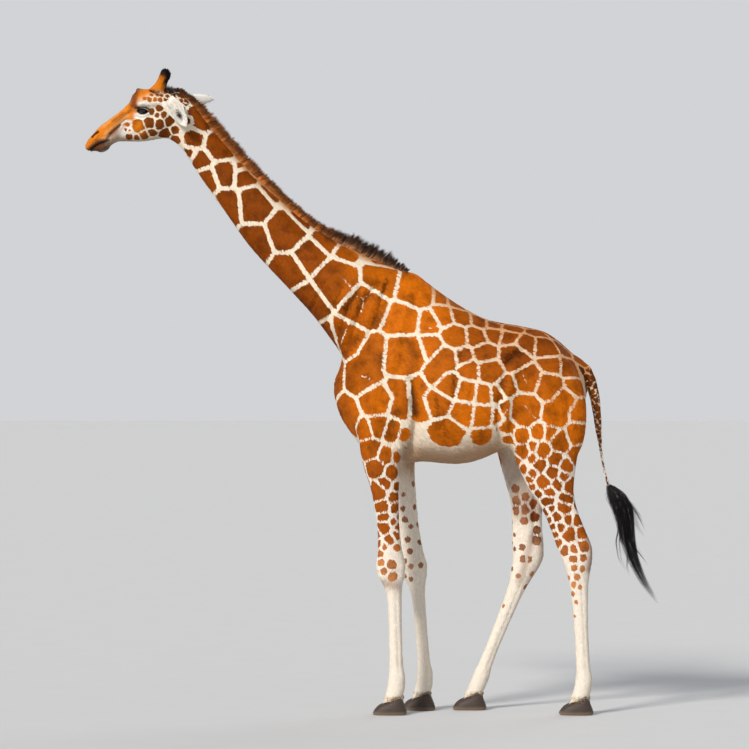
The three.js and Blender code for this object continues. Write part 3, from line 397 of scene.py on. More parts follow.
# Strokes on the sides of the head, finer than those of the body.
FACE_STROKES = [
    (0.0075, 0.011, [(134, 105.5), (140, 103.5), (147, 104), (153, 107)]),  # brow
    (-0.0045, 0.006, [(136, 107.5), (143, 106.2), (150, 108)]),  # fold of the upper lid
    (0.004, 0.006, [(137, 115), (143, 116.8), (150, 114.5)]),  # lower lid
    (-0.0035, 0.006, [(136, 117.5), (143, 119.5), (151, 117)]),
    (-0.010, 0.009, [(126, 120.5), (120, 126), (114, 131), (109, 138)]),  # crease of the cheek
    (0.006, 0.010, [(131, 111), (122, 118), (113, 127)]),
    (-0.006, 0.010, [(126, 113), (118, 119), (110, 127)]),
    (0.0055, 0.014, [(132, 117), (124, 124), (117, 131)]),  # ridge of the face
    (0.007, 0.030, [(146, 120), (156, 127), (160, 122)]),  # jaw muscle
    (-0.005, 0.013, [(136, 126), (140, 133)]),
    (-0.008, 0.016, [(172, 118), (175, 128), (178, 140)]),  # behind the jaw
    (0.008, 0.012, [(138, 88.5), (136.5, 90)]),  # horn of the forehead
    (-0.004, 0.014, [(144, 91), (148, 91)]),
    (-0.006, 0.005, [(150.5, 91.5), (155, 93), (159.5, 94)]),  # crease before the ossicone
    (-0.004, 0.012, [(129, 107), (124, 113)]),
    (-0.004, 0.010, [(150, 103), (160, 101), (168, 102)]),  # hollow of the temple
    (0.0035, 0.0075, [(90, 142), (97, 139), (105, 139)]),  # upper lip
    (0.0035, 0.0075, [(96, 149.5), (102, 148), (107, 145)]),
    (-0.003, 0.004, [(112, 131), (108, 136), (107, 142)]),  # wrinkles at the corner of the mouth
    (-0.002, 0.003, [(115, 133), (111, 138), (110, 142)]),
    (-0.002, 0.003, [(104, 134), (102, 138)]),
    (0.0045, 0.0065, [(90.5, 137), (94, 132.5), (98.5, 129.8)]),  # rims of the nostril
    (0.003, 0.006, [(95, 139.5), (99, 135.5)]),
]
NOSTRIL = (-0.020, 0.0048, [(92.5, 137.2), (95.2, 134.2), (98.2, 132.2)])
MOUTH = (-0.008, 0.0028, [(85, 153.5), (91.2, 150), (97, 145.8), (103.6, 142.9), (109.5, 141.2)])
# The middle horn of the forehead: its corner in pixels, its reach and how far it rises, in metres.
FOREHEAD = (138.5, 90.5)
FOREHEAD_REACH = np.array([0.019, 0.045, 0.020])
FOREHEAD_RISE = np.array([-0.006, 0, 0.010])
MIN_SIDE = 0.012  # strokes on the side of the face fade out this near its middle
BURR_RISE = 0.006  # the ring of flesh round an ossicone's foot, in metres
BURR_RADIUS = 0.044
BURR_HALF = 0.018

# The places that are softened most, seen from the side: x, z and reach in metres.
LUMPS = [(0.12, 2.5, 0.22), (1.03, 2.28, 0.2)]
COAT_DEPTH = 0.0035  # how far the skin sinks into the solids, and how much less on the head and legs
HEAD_THINNER = 0.002
LEG_THINNER = 0.0015
TAIL_THICKER = 0.008  # the hair of the upper tail


# ---------------------------------------------------------------- small tools
def linear(colour):
    """A 0 to 255 daylight colour as linear light, with alpha."""
    part = np.array(colour, float) / 255
    return np.append(np.where(part < 0.04045, part / 12.92, ((part + 0.055) / 1.055) ** 2.4), 1.0)


def smooth(edge0, edge1, value):
    """0 at edge0, 1 at edge1, with a soft step between."""
    share = np.clip((value - edge0) / (edge1 - edge0), 0, 1)
    return share * share * (3 - 2 * share)


def bell(value):
    """1 at nought, and softly less on both sides."""
    return np.exp(-(value**2))


def unit(vectors):
    """Vectors with their lengths made one."""
    return vectors / np.maximum(np.linalg.norm(vectors, axis=-1, keepdims=True), 1e-9)


def from_pixels(line):
    """[x, z] in metres of a line drawn in the photo's pixels."""
    line = np.array(line, float)
    return np.stack([(line[:, 0] - PIXEL_X0) * PIXEL, (PIXEL_Z0 - line[:, 1]) * PIXEL], axis=1)


def distance_to_line(points, line):
    """How far points are from a bent line, in any number of dimensions."""
    best = np.full(len(points), np.inf)
    for a, b in zip(line[:-1], line[1:]):
        step = b - a
        share = np.clip((points - a) @ step / max(step @ step, 1e-12), 0, 1)
        best = np.minimum(best, np.linalg.norm(points - a - share[:, None] * step, axis=1))
    return best


def follow(points, line):
    """Where points lie by a limb: nearness (1 at its surface), run along it, way it heads, offset."""
    rungs = np.array(line)
    near = np.full(len(points), np.inf)
    run = np.zeros(len(points))
    heading = np.zeros((len(points), 3))
    offset = np.zeros((len(points), 3))
    start = 0.0
    last = len(rungs) - 2
    for i, (a, b) in enumerate(zip(rungs[:-1], rungs[1:])):
        step = b[:3] - a[:3]
        length = np.linalg.norm(step)
        free = (points - a[:3]) @ step / length**2
        share = np.clip(free, 0, 1)
        away = points - a[:3] - share[:, None] * step
        score = np.linalg.norm(away, axis=1) / (a[3] + share * (b[3] - a[3]))
        closer = score < near
        near[closer] = score[closer]
        reach = np.where((i == 0) & (free < 0) | (i == last) & (free > 1), free, share)
        run[closer] = (start + reach * length)[closer]
        heading[closer] = step / length
        offset[closer] = away[closer]
        start += length
    return near, run, heading, offset


def limb_length(name):
    """How long the middle line of a limb is, in metres."""
    rungs = np.array(LIMBS[name])[:, :3]
    return np.linalg.norm(np.diff(rungs, axis=0), axis=1).sum()


def link(mesh, name):
    """A new object for a mesh, in the scene."""
    obj = bpy.data.objects.new(name, mesh)
    bpy.context.scene.collection.objects.link(obj)
    return obj


def read(items, field, width=1, kind=np.int32):
    """A field of every item as an array, with width numbers to an item."""
    flat = np.zeros(len(items) * width, kind)
    items.foreach_get(field, flat)
    return flat if width == 1 else flat.reshape(-1, width)


def points_of(mesh):
    return read(mesh.vertices, "co", 3, np.float32).astype(float)


def normals_of(mesh):
    return read(mesh.vertices, "normal", 3, np.float32).astype(float)


def set_points(mesh, points):
    """Moves the vertices of a mesh to points."""
    mesh.vertices.foreach_set("co", points.astype(np.float32).ravel())
    mesh.update()


def edges_of(mesh):
    return read(mesh.edges, "vertices", 2)


def relax(values, edges, rounds, pull):
    """Moves each value towards the mean of its neighbours. pull is a number or one per vertex."""
    a, b = edges.T
    count = np.bincount(edges.ravel(), minlength=len(values))[:, None]
    pull = np.broadcast_to(np.asarray(pull, float), (len(values),))[:, None]
    for _ in range(rounds):
        total = np.zeros(values.shape)
        for k in range(values.shape[1]):
            column = values[:, k]
            total[:, k] = np.bincount(a, column[b], len(column)) + np.bincount(b, column[a], len(column))
        values = values + pull * (total / count - values)
    return values


def new_mesh(name, points, faces):
    """A smooth mesh from arrays: faces is a list of arrays, one for each number of corners."""
    mesh = bpy.data.meshes.new(name)
    corners = np.concatenate([f.ravel() for f in faces])
    sizes = np.concatenate([np.full(len(f), f.shape[1]) for f in faces])
    mesh.vertices.add(len(points))
    mesh.vertices.foreach_set("co", points.astype(np.float32).ravel())
    mesh.loops.add(len(corners))
    mesh.loops.foreach_set("vertex_index", corners.astype(np.int32))
    mesh.polygons.add(len(sizes))
    starts = np.concatenate([[0], np.cumsum(sizes)[:-1]])
    mesh.polygons.foreach_set("loop_start", starts.astype(np.int32))
    mesh.update(calc_edges=True)
    mesh.shade_smooth()
    return mesh


def write_attribute(mesh, name, kind, values):
    """kind is FLOAT, FLOAT_VECTOR or FLOAT_COLOR, with one value for each vertex."""
    attribute = mesh.attributes.new(name, kind, "POINT")
    field = {"FLOAT": "value", "FLOAT_VECTOR": "vector", "FLOAT_COLOR": "color"}[kind]
    attribute.data.foreach_set(field, values.astype(np.float32).ravel())


def write_uv(mesh, corners_uv):
    """Writes the unwrap of a mesh from the place of each corner of its faces."""
    layer = mesh.uv_layers.new(name="OFBake")
    layer.data.foreach_set("uv", corners_uv.astype(np.float32).ravel())


def write_vertex_uv(mesh, per_vertex):
    """Writes the unwrap of a mesh from the place of each vertex."""
    write_uv(mesh, per_vertex[read(mesh.loops, "vertex_index")])


# What the coat's material reads at each vertex: how far inside a patch it is, the two colours, the place
# across the lie of the hair, and the place along it.
MARK_KINDS = {"edge": "FLOAT", "ground": "FLOAT_COLOR", "patch": "FLOAT_COLOR", "grain": "FLOAT_VECTOR",
              "run": "FLOAT"}


def write_marks(mesh, marks):
    """Writes what the coat shows at each vertex of a mesh."""
    for name, kind in MARK_KINDS.items():
        write_attribute(mesh, name, kind, marks[name])


# ---------------------------------------------------------------- materials
def add_node(material, kind, **settings):
    """A new node of a material. Settings are the values of its sockets, or else its own fields."""
    node = material.node_tree.nodes.new(kind)
    for name, value in settings.items():
        if name in node.inputs:
            node.inputs[name].default_value = value
        else:
            setattr(node, name, value)
    return node


def new_material(name, roughness, gloss=0.15):
    """A material and its shader, with an even roughness and gloss."""
    material = bpy.data.materials.new(name)
    material.use_nodes = True
    shader = material.node_tree.nodes["Principled BSDF"]
    shader.inputs["Roughness"].default_value = roughness
    shader.inputs["Specular IOR Level"].default_value = gloss
    return material, shader


def mix_colours(material, factor, first, second, blend="MIX"):
    """A colour mix whose factor, first and second are sockets or plain values."""
    node = add_node(material, "ShaderNodeMix", data_type="RGBA", blend_type=blend)
    for socket, value in ((node.inputs[0], factor), (node.inputs[6], first), (node.inputs[7], second)):
        if isinstance(value, bpy.types.NodeSocket):
            material.node_tree.links.new(value, socket)
        else:
            socket.default_value = value
    return node.outputs[2]


def attribute(material, name, socket="Color"):
    """One output of a per-vertex attribute, for a material to read."""
    return add_node(material, "ShaderNodeAttribute", attribute_name=name).outputs[socket]


def texture(material, kind="ShaderNodeTexNoise", **settings):
    """The grey value of a texture that is laid over the object in metres."""
    place = add_node(material, "ShaderNodeTexCoord")
    node = add_node(material, kind, **settings)
    material.node_tree.links.new(place.outputs["Object"], node.inputs["Vector"])
    return node.outputs["Fac"]


def soft_step(material, source, start, end):
    """0 at start and 1 at end, with a soft step between."""
    step = add_node(material, "ShaderNodeMapRange", interpolation_type="SMOOTHSTEP")
    step.inputs["From Min"].default_value = start
    step.inputs["From Max"].default_value = end
    material.node_tree.links.new(source, step.inputs["Value"])
    return step.outputs["Result"]


def add_relief(material, shader, height, strength, depth):
    """Small bumps in the light on a surface, up to a depth in metres."""
    rise = add_node(material, "ShaderNodeBump", Strength=strength, Distance=depth)
    material.node_tree.links.new(height, rise.inputs["Height"])
    material.node_tree.links.new(rise.outputs["Normal"], shader.inputs["Normal"])


def hair_noise(material, across, stretch):
    """Noise drawn out along the lie of the coat, from the grain and run attributes."""
    links = material.node_tree.links
    noise = add_node(material, "ShaderNodeTexNoise", noise_dimensions="4D", Scale=across, Detail=2.0)
    slower = add_node(material, "ShaderNodeMath", operation="MULTIPLY")
    slower.inputs[1].default_value = across / stretch
    links.new(attribute(material, "run", "Fac"), slower.inputs[0])
    links.new(attribute(material, "grain", "Vector"), noise.inputs["Vector"])
    links.new(slower.outputs[0], noise.inputs["W"])
    return noise.outputs["Fac"]


def ramp(material, source, stops):
    """Colours along a value, from pairs of a place in it and a colour."""
    node = add_node(material, "ShaderNodeValToRGB")
    elements = node.color_ramp.elements
    while len(elements) < len(stops):
        elements.new(0.5)
    for element, (place, colour) in zip(elements, stops):
        element.position = place
        element.color = colour
    material.node_tree.links.new(source, node.inputs[0])
    return node.outputs[0]


def grey(value):
    return (value, value, value, 1.0)


RAGGED = 0.016  # how far noise moves the border of a patch, in metres
BORDER = (0.0065, 0.0095)  # where the ground turns to patch, on top of half that noise
COAT_RELIEF = 0.0025
PATCH_BLOTCHES = ((0.3, 0.52), (0.5, 0.95), (0.72, 1.15))  # noise and the brightness that it gives
COAT_STREAKS = ((0.3, 0.80), (0.7, 1.08))


def shades(material, noise, stops):
    """Noise as greys, from pairs of a place in it and a brightness."""
    return ramp(material, noise, [(place, grey(value)) for place, value in stops])


def coat_material(name, bump):
    """Pale ground and brown patches, parted where the edge attribute crosses nought."""
    material, shader = new_material(name, 0.62, 0.07)
    links = material.node_tree.links
    shift = add_node(material, "ShaderNodeMath", operation="MULTIPLY_ADD")
    shift.inputs[1].default_value = RAGGED
    links.new(texture(material, Scale=55.0, Detail=3.0, Roughness=0.6), shift.inputs[0])
    links.new(attribute(material, "edge", "Fac"), shift.inputs[2])
    inside = soft_step(material, shift.outputs[0], *BORDER)
    blotches = shades(material, texture(material, Scale=11.0, Detail=4.0, Roughness=0.6), PATCH_BLOTCHES)
    brown = mix_colours(material, 1.0, attribute(material, "patch"), blotches, "MULTIPLY")
    marked = mix_colours(material, inside, attribute(material, "ground"), brown)
    streaks = hair_noise(material, 260.0, 9.0)
    colour = mix_colours(material, 1.0, marked, shades(material, streaks, COAT_STREAKS), "MULTIPLY")
    links.new(colour, shader.inputs["Base Color"])
    add_relief(material, shader, streaks, bump, COAT_RELIEF)
    return material


def tinted_material(name, roughness, gloss, low, high):
    """A material coloured by the tint attribute, broken by noise between two brightnesses."""
    material, shader = new_material(name, roughness, gloss)
    broken = shades(material, texture(material, Scale=120.0, Detail=2.0), ((0.3, low), (0.7, high)))
    colour = mix_colours(material, 1.0, attribute(material, "tint"), broken, "MULTIPLY")
    material.node_tree.links.new(colour, shader.inputs["Base Color"])
    return material


# ---------------------------------------------------------------- the skin's shape
def remeshed(names, voxel, swell, extras=()):
    """One closed mesh round copies of the named solids, and round any extra bmesh makers."""
    bm = bmesh.new()
    for name in names:
        bm.from_mesh(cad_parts[name].data)
    for extra in extras:
        extra(bm)
    bmesh.ops.remove_doubles(bm, verts=bm.verts, dist=1e-5)
    bm.normal_update()
    for vert in bm.verts:
        vert.co += vert.normal * swell
    mesh = bpy.data.meshes.new("rough")
    bm.to_mesh(mesh)
    bm.free()
    rough = link(mesh, "rough")
    wrap = rough.modifiers.new("wrap", "REMESH")
    wrap.mode = "VOXEL"
    wrap.voxel_size = voxel
    whole = rough.evaluated_get(bpy.context.evaluated_depsgraph_get())
    result = bpy.data.meshes.new_from_object(whole)
    bpy.data.objects.remove(rough)
    return result


def refine(mesh, wanted):
    """Cuts the faces whose middle is wanted in four."""
    bm = bmesh.new()
    bm.from_mesh(mesh)
    centres = np.array([face.calc_center_median() for face in bm.faces])
    chosen = wanted(centres)
    edges = {edge for face, take in zip(bm.faces, chosen) if take for edge in face.edges}
    bmesh.ops.subdivide_edges(bm, edges=list(edges), cuts=1, use_grid_fill=True)
    bm.to_mesh(mesh)
    bm.free()
    mesh.update()


def stroke_heights(points, normals, strokes, side_only=True):
    """How far strokes drawn on the side push each point out."""
    height = np.zeros(len(points))
    sideways = smooth(0.15, 0.6, np.abs(normals[:, 1])) if side_only else 1.0
    for rise, width, line in strokes:
        height += rise * bell(distance_to_line(points[:, [0, 2]], from_pixels(line)) / width) * sideways
    return height


def ball_depth(reach, radius):
    """How far a ball stands out at a distance from its middle."""
    return np.sqrt(np.maximum(radius**2 - reach**2, 0))


def carve_eye(points, side):
    """Opens the lids round the ball and makes them hug it."""
    ahead = points[:, 0] - EYE.x
    above = points[:, 2] - EYE.z
    reach = np.hypot(ahead, above)
    u = ahead * math.cos(EYE_TILT) - above * math.sin(EYE_TILT)
    v = above * math.cos(EYE_TILT) + ahead * math.sin(EYE_TILT)
    half_height = np.where(v > 0, *EYE_SLIT[1:])
    slit = (np.abs(u) / EYE_SLIT[0]) ** SLIT_POWER + (np.abs(v) / half_height) ** SLIT_POWER
    close = (reach < LIDS_REACH) & (points[:, 1] * side > LIDS_FROM_MIDDLE)
    hug = close & (slit >= 1)
    lid = side * (EYE.y + ball_depth(reach, EYE_RADIUS + LID))
    weight = 1 - smooth(*LIDS_FADE, reach)
    points[hug, 1] += (weight * (lid - points[:, 1]))[hug]
    hole = close & (slit < 1)
    socket = ball_depth(reach, EYE_RADIUS) - SOCKET_DEPTH * (1 - slit) - SOCKET_GAP
    points[hole, 1] = (side * (EYE.y + socket))[hole]


# The groove beside the tendons of a cannon: where it runs along the leg, how far it lies behind the
# cannon's middle, its half width and depth, and how far away a point is on another leg.
TENDON_SPAN = (2.15, 2.95)
TENDON_BEHIND = 0.018
TENDON_HALF = 0.009
TENDON_DEPTH = 0.0045
OTHER_LEG = 0.09


def tendon_grooves(points):
    """The hollow on each side of a cannon, between its bone and the tendons behind it."""
    rise = np.zeros(len(points))
    for joints in LEG_JOINTS.values():
        top, bottom = (np.array(along_joints(joints, share)) for share in TENDON_SPAN)
        step = bottom - top
        share = (points - top) @ step / (step @ step)
        away = points - top - share[:, None] * step
        inside = smooth(-0.05, 0.15, share) * smooth(1.05, 0.85, share) * (np.abs(away[:, 1]) < OTHER_LEG)
        groove = bell((away[:, 0] - TENDON_BEHIND) / TENDON_HALF) * (np.abs(away[:, 0]) < OTHER_LEG)
        rise -= TENDON_DEPTH * groove * inside
    return rise


KNEE_TALL = 0.075  # how far up and down from its joint a knee swells
KNEE_FRONT = 0.009  # how far the front of a knee, the knob behind it and the whole of it stand out
KNEE_KNOB = 0.008
KNEE_ROUND = 0.004
KNEE_REACH = (0.15, 0.12)  # farther from the joint than this, along and across, is not the knee
KNEE_CREASE = (0.012, 0.012, 0.004)  # how far below the joint it lies, its half width and depth
HOCK_SPAN = (1.35, 1.6, 1.85)  # where the hollow before the tendon runs along the leg
HOCK_BACK = (0.042, 0, 0.02)  # how far it lies from the leg's middle line
HOCK_HALF = 0.016
HOCK_DEPTH = 0.011


def knees(points, normals):
    """Bony fronts of the knees, with the knob behind each, and the hollow before each hock's tendon."""
    rise = np.zeros(len(points))
    for leg, joints in LEG_JOINTS.items():
        away = points - np.array(joints[2])
        beside = np.abs(away[:, 1]) < KNEE_REACH[1]
        if leg.startswith("fore"):
            tall = bell(away[:, 2] / KNEE_TALL) * beside * (np.abs(away[:, 0]) < KNEE_REACH[0])
            rise += KNEE_FRONT * tall * smooth(0.2, 0.9, -normals[:, 0])
            rise += KNEE_KNOB * tall * smooth(0.3, 0.9, normals[:, 0]) + KNEE_ROUND * tall
            below, half, depth = KNEE_CREASE
            rise -= depth * bell((away[:, 2] + below) / half) * tall
        else:
            line = np.array([along_joints(joints, share) for share in HOCK_SPAN]) + HOCK_BACK
            gap = distance_to_line(points[:, [0, 2]], line[:, [0, 2]])
            rise -= HOCK_DEPTH * bell(gap / HOCK_HALF) * beside * np.abs(normals[:, 1])
    return rise


def near_any(centres, spots, radius):
    """Which centres lie within a radius of any of the spots, seen from the side."""
    found = np.zeros(len(centres), bool)
    for x, z in spots:
        found |= np.hypot(centres[:, 0] - x, centres[:, 2] - z) < radius
    return found


def fine_flesh():
    """One skin round the flesh, with smaller faces on the head and the smallest at the eyes and lips."""
    mesh = remeshed(FLESH, SKIN_VOXEL, GAP_CLOSER)
    eye = [(EYE.x, EYE.z)]
    lips = [tuple(place) for place in from_pixels(NOSTRIL[2] + MOUTH[2])]
    refine(mesh, lambda c: (c[:, 0] < -1.17) & (c[:, 2] > 3.4))
    refine(mesh, lambda c: near_any(c, eye, 0.055) | near_any(c, lips, 0.018))
    refine(mesh, lambda c: near_any(c, eye, 0.042))
    return mesh


def soften(points, edges, soft):
    """Rounds off the corners of the solids, most of all where the neck and the thigh leave the trunk."""
    points = relax(points, edges, 60, 0.6 * soft)
    flat = points[:, [0, 2]]
    lumps = sum(bell(np.linalg.norm(flat - (x, z), axis=1) / reach) for x, z, reach in LUMPS)
    pull = 0.7 * np.clip(lumps, 0, 1) * smooth(0.02, 0.1, np.abs(points[:, 1]))
    return relax(points, edges, 160, pull)


def carve_head(points, normals):
    """The burrs at the ossicones' feet, the horn of the forehead and the eyes."""
    for side in (-1, 1):
        away = np.linalg.norm(points - np.array(OSSICONE_FOOT) * [1, side, 1], axis=1)
        points += normals * (BURR_RISE * bell((away - BURR_RADIUS) / BURR_HALF))[:, None]
    x, z = from_pixels([FOREHEAD])[0]
    away = (points - [x, 0, z]) / FOREHEAD_REACH
    points += np.exp(-(away**2).sum(axis=1))[:, None] * FOREHEAD_RISE
    for side in (-1, 1):
        carve_eye(points, side)


def build_skin():
    """The skin of all the flesh, softened, sunk by the depth of the coat and carved."""
    mesh = fine_flesh()
    points = points_of(mesh)
    near = {name: follow(points, line)[0] for name, line in LIMBS.items()}
    low_leg = 1 - smooth(0.9, 1.5, points[:, 2])
    head = smooth(*HEAD_FADE, points[:, 0])
    tail = 1 - smooth(1.5, 2.5, near["tail"])
    points = soften(points, edges_of(mesh), np.clip(1 - 0.85 * low_leg - 0.9 * head - tail, 0.05, 1))
    set_points(mesh, points)
    normals = normals_of(mesh)
    on_body = (points[:, 2] > 1.5) * (1 - head)
    depth = COAT_DEPTH - HEAD_THINNER * head - LEG_THINNER * low_leg
    points -= normals * depth[:, None]
    from_middle = np.abs(points[:, 1])
    fade = 1 - smooth(1.4, 1.8, np.minimum(near["trunk"], near["neck"]))
    rise = stroke_heights(points, normals, STROKES) * on_body * fade
    rise += stroke_heights(points, normals, FACE_STROKES) * head * smooth(0.0, MIN_SIDE, from_middle)
    rise += stroke_heights(points, normals, CROWN_STROKES, side_only=False) * head
    rise += tendon_grooves(points) + knees(points, normals)
    rise += TAIL_THICKER * smooth(1.60, 1.80, points[:, 2]) * tail * smooth(1.31, 1.35, points[:, 0])
    rise += stroke_heights(points, normals, [NOSTRIL]) * head * smooth(0.025, 0.04, from_middle)
    rise += stroke_heights(points, normals, [MOUTH], side_only=False) * head
    points += normals * rise[:, None]
    carve_head(points, normals)
    set_points(mesh, points)
    return mesh


# ---------------------------------------------------------------- the skin's marks
def surface_tree(mesh):
    """A search tree of the faces of a mesh."""
    bm = bmesh.new()
    bm.from_mesh(mesh)
    tree = BVHTree.FromBMesh(bm)
    bm.free()
    return tree


def other_side(point, limb):
    """The matching place on the far side: mirrored, and for a leg moved to the other leg's stride."""
    if limb not in LEG_JOINTS:
        return Vector((point[0], -point[1], point[2]))
    _, run, _, offset = follow(np.array([point]), LIMBS[limb])
    mate = limb.replace("left", "right") if "left" in limb else limb.replace("right", "left")
    rungs = np.array(LIMBS[mate])[:, :3]
    lengths = np.linalg.norm(np.diff(rungs, axis=0), axis=1)
    starts = np.concatenate([[0], np.cumsum(lengths)])
    place = [np.interp(run[0], starts, rungs[:, k]) for k in range(3)]
    return Vector(np.array(place) + offset[0] * [1, -1, 1])


def patch_on_skin(tree, column, row, inner):
    """Where a place in the photo lies on the skin: on the near side, or inside a far leg if inner."""
    (x, z), = from_pixels([(column, row)])
    hit = tree.ray_cast(Vector((x, -3, z)), Vector((0, 1, 0)))[0]
    if hit is None or (hit.y > 0) != inner:
        hit = tree.find_nearest(Vector((x, 0.12 if inner else -0.12, z)))[0]
    return hit


def side_cells(tree):
    """The cells of the patches on both sides. The first cell of a patch sets its tone and whether it is
    one with its mate."""
    rows = []
    for region, patches in PATCHES.items():
        line, reach = LINES[region]
        inner = region in FAR_REGIONS
        for patch in patches:
            number = len(rows)
            for column, row, radius in patch if isinstance(patch, list) else [patch]:
                hit = patch_on_skin(tree, column, row, inner)
                leg = LEG_OF_REGION.get(region) if (PIXEL_Z0 - row) * PIXEL < LEG_TOP else None
                size = radius * PIXEL
                astray = Vector(rng.normal(0, MATE_SHIFT * size, 3))
                mate = tree.find_nearest(other_side(hit, leg or "trunk") + astray)[0]
                meets = abs(hit.y) < JOIN_WITHIN and rng.random() < JOINED_SHARE
                shade = rng.uniform(*PATCH_TONES)
                if number == len(rows):
                    joined, tone = meets, shade
                for own, spot in ((number, hit), (number if joined else number + 1, mate)):
                    rows.append((*spot, size, line * PIXEL, reach * size, tone, inner, own))
    return rows


def back_cells(tree, number):
    """The cells of the patches on the middle of the back, numbered from number on."""
    rows = []
    line, reach = LINES["rump"]
    for column, radius in BACK_PATCHES:
        top = tree.ray_cast(Vector(((column - PIXEL_X0) * PIXEL, 0, 4)), Vector((0, 0, -1)))[0]
        size = radius * PIXEL
        tone = rng.uniform(*PATCH_TONES)
        rows.append((*top, size, line * PIXEL, reach * size, tone, False, number + len(rows)))
    return rows


def tail_cells(number):
    """The dark spots down the tail, each turned at random about it."""
    rows = []
    rungs = np.array(LIMBS["tail"])
    for share in np.linspace(0.0, TAIL_SPOTS_END, TAIL_SPOTS):
        place = [np.interp(share * (len(rungs) - 1), np.arange(len(rungs)), rungs[:, k]) for k in range(4)]
        turn = rng.uniform(0, 2 * math.pi)
        spot = np.array(place[:3]) + place[3] * np.array([math.cos(turn), math.sin(turn), 0])
        size = TAIL_SPOT + TAIL_SPOT_GROWS * place[3]
        rows.append((*spot, size, TAIL_LINE, 2.0 * size, rng.uniform(*TAIL_TONES), False, number + len(rows)))
    return rows


def patch_cells_on(tree):
    """All cells, one row each: centre, inner radius, half line, reach, tone, whether it lies inside a leg,
    and the number of its patch."""
    cells = side_cells(tree)
    cells += back_cells(tree, len(cells))
    cells += tail_cells(len(cells))
    return np.array(cells)


def mark_patches(points, cells):
    """Signed distance to the nearest patch border (above 0 inside a patch), the patch's tone, and whether
    it belongs on the inside of a leg."""
    weight = cells[:, 3] ** 2
    best = np.full(len(points), np.inf)
    own = np.zeros(len(points), int)
    for i, cell in enumerate(cells):
        power = ((points - cell[:3]) ** 2).sum(axis=1) - weight[i]
        closer = power < best
        best[closer] = power[closer]
        own[closer] = i
    border = np.full(len(points), np.inf)
    for i, cell in enumerate(cells):
        power = ((points - cell[:3]) ** 2).sum(axis=1) - weight[i]
        apart = np.linalg.norm(cells[own, :3] - cell[:3], axis=1)
        one_patch = cells[own, 8] == cell[8]
        gap = np.where(one_patch, np.inf, (power - best) / (2 * np.maximum(apart, 1e-4)))
        border = np.minimum(border, gap)
    mine = cells[own]
    inside = np.minimum(border - mine[:, 4], mine[:, 5] - np.linalg.norm(points - mine[:, :3], axis=1))
    return inside, mine[:, 6], mine[:, 7]


def blend_colours(base, colour, share):
    """Colours moved towards one colour, each by its own share."""
    return base + share[:, None] * (linear(colour) - base)


def washed(colours, flat, washes):
    """Colours with washes laid over them."""
    for colour, strength, width, line in washes:
        gap = distance_to_line(flat, from_pixels(line)) / (width * PIXEL)
        colours = blend_colours(colours, colour, strength * np.exp(-(gap**2.5)))
    return colours


def paint(points, normals, cells):
    """The edge, ground colour and patch colour at each point."""
    edge, tone, inner_mark = mark_patches(points, cells)
    x, y, height = points.T
    flat = points[:, [0, 2]]
    low = 1 - smooth(*LEG_FADE, height)
    ground = blend_colours(np.tile(linear(CREAM), (len(points), 1)), LEG_CREAM, low)
    ground = washed(ground, flat, WASHES)
    back = smooth(*REAR_FADE, x) * smooth(*BACK_FADE, height)
    patch = np.tile(linear(PATCH), (len(points), 1))
    for colour, share in (
        # darker patches on the back and rump, partly painted shade of the rear
        (PATCH_BACK, 0.8 * back),
        (PATCH_NECK, 0.85 * smooth(*NECK_FADE, x)),
        (PATCH_LEG, low),
        (PATCH_SHIN, smooth(*SHIN_FADE, height)),
        # greyer patches inside the far legs: fainter marks, and painted shade on the far thigh
        (GREY, 0.5 * inner_mark),
        (PATCH_HEAD, smooth(*HEAD_FADE, x)),
    ):
        patch = blend_colours(patch, colour, share)
    patch = washed(patch, flat, PATCH_WASHES)
    patch[:, :3] *= tone[:, None]
    for half, lines in ((CRACK_HALF, CRACKS), (MANE_LINE_HALF, [MANE_LINE])):
        for line in lines:
            gap = distance_to_line(flat, from_pixels(line)) - half * PIXEL
            edge = np.where(height > LINES_ABOVE, np.minimum(edge, gap), edge)
    under = smooth(*BELLY_TURN, normals[:, 2]) * (height > 1.2) * (x > 0)
    inner = smooth(0.2, 0.8, -np.sign(y) * normals[:, 1]) * low * (height > 1.05)
    # painted shade on the inner sides of the thighs, as if under the belly
    thigh = 0.6 * inner * smooth(1.14, 1.24, height) * (x > 0.6)
    ground = blend_colours(ground, INNER_THIGH_SHADE, thigh)
    return edge - BELLY_BARE * under - INNER_BARE * inner * (1 - inner_mark), ground, patch


# ---------------------------------------------------------------- the unwrap
def limb_angle(offset, heading):
    """The angle about a limb, 0 at its outer or upper side."""
    level = unit(np.stack([-heading[:, 2], np.zeros(len(heading)), heading[:, 0]], axis=1))
    return np.arctan2(offset[:, 1], (offset * level).sum(axis=1))


def chart_place(limb, run, angle):
    """Where a run along a limb and an angle about it lie on the unwrap."""
    left, bottom, width, height = CHARTS[limb]
    across = 0.04 + 0.92 * (angle / (2 * math.pi) + 0.5)
    along = 0.06 + 0.88 * run / limb_length(limb)
    return np.stack([left + width * np.clip(across, 0, 1), bottom + height * np.clip(along, 0, 1)], axis=1)


def limbs_of(points):
    """The index of the limb that each point belongs to."""
    scores = np.stack([follow(points, LIMBS[name])[0] for name in LIMB_NAMES])
    leg_rows = [LIMB_NAMES.index(leg) for leg in LEGS]
    scores[leg_rows] += smooth(1.6, 1.9, points[:, 2])
    return scores.argmin(axis=0)


def unwrap(points):
    """The place of single points on the unwrap."""
    limbs = limbs_of(points)
    result = np.zeros((len(points), 2))
    for i, name in enumerate(LIMB_NAMES):
        chosen = limbs == i
        if chosen.any():
            _, run, heading, offset = follow(points[chosen], LIMBS[name])
            result[chosen] = chart_place(name, run, limb_angle(offset, heading))
    return result


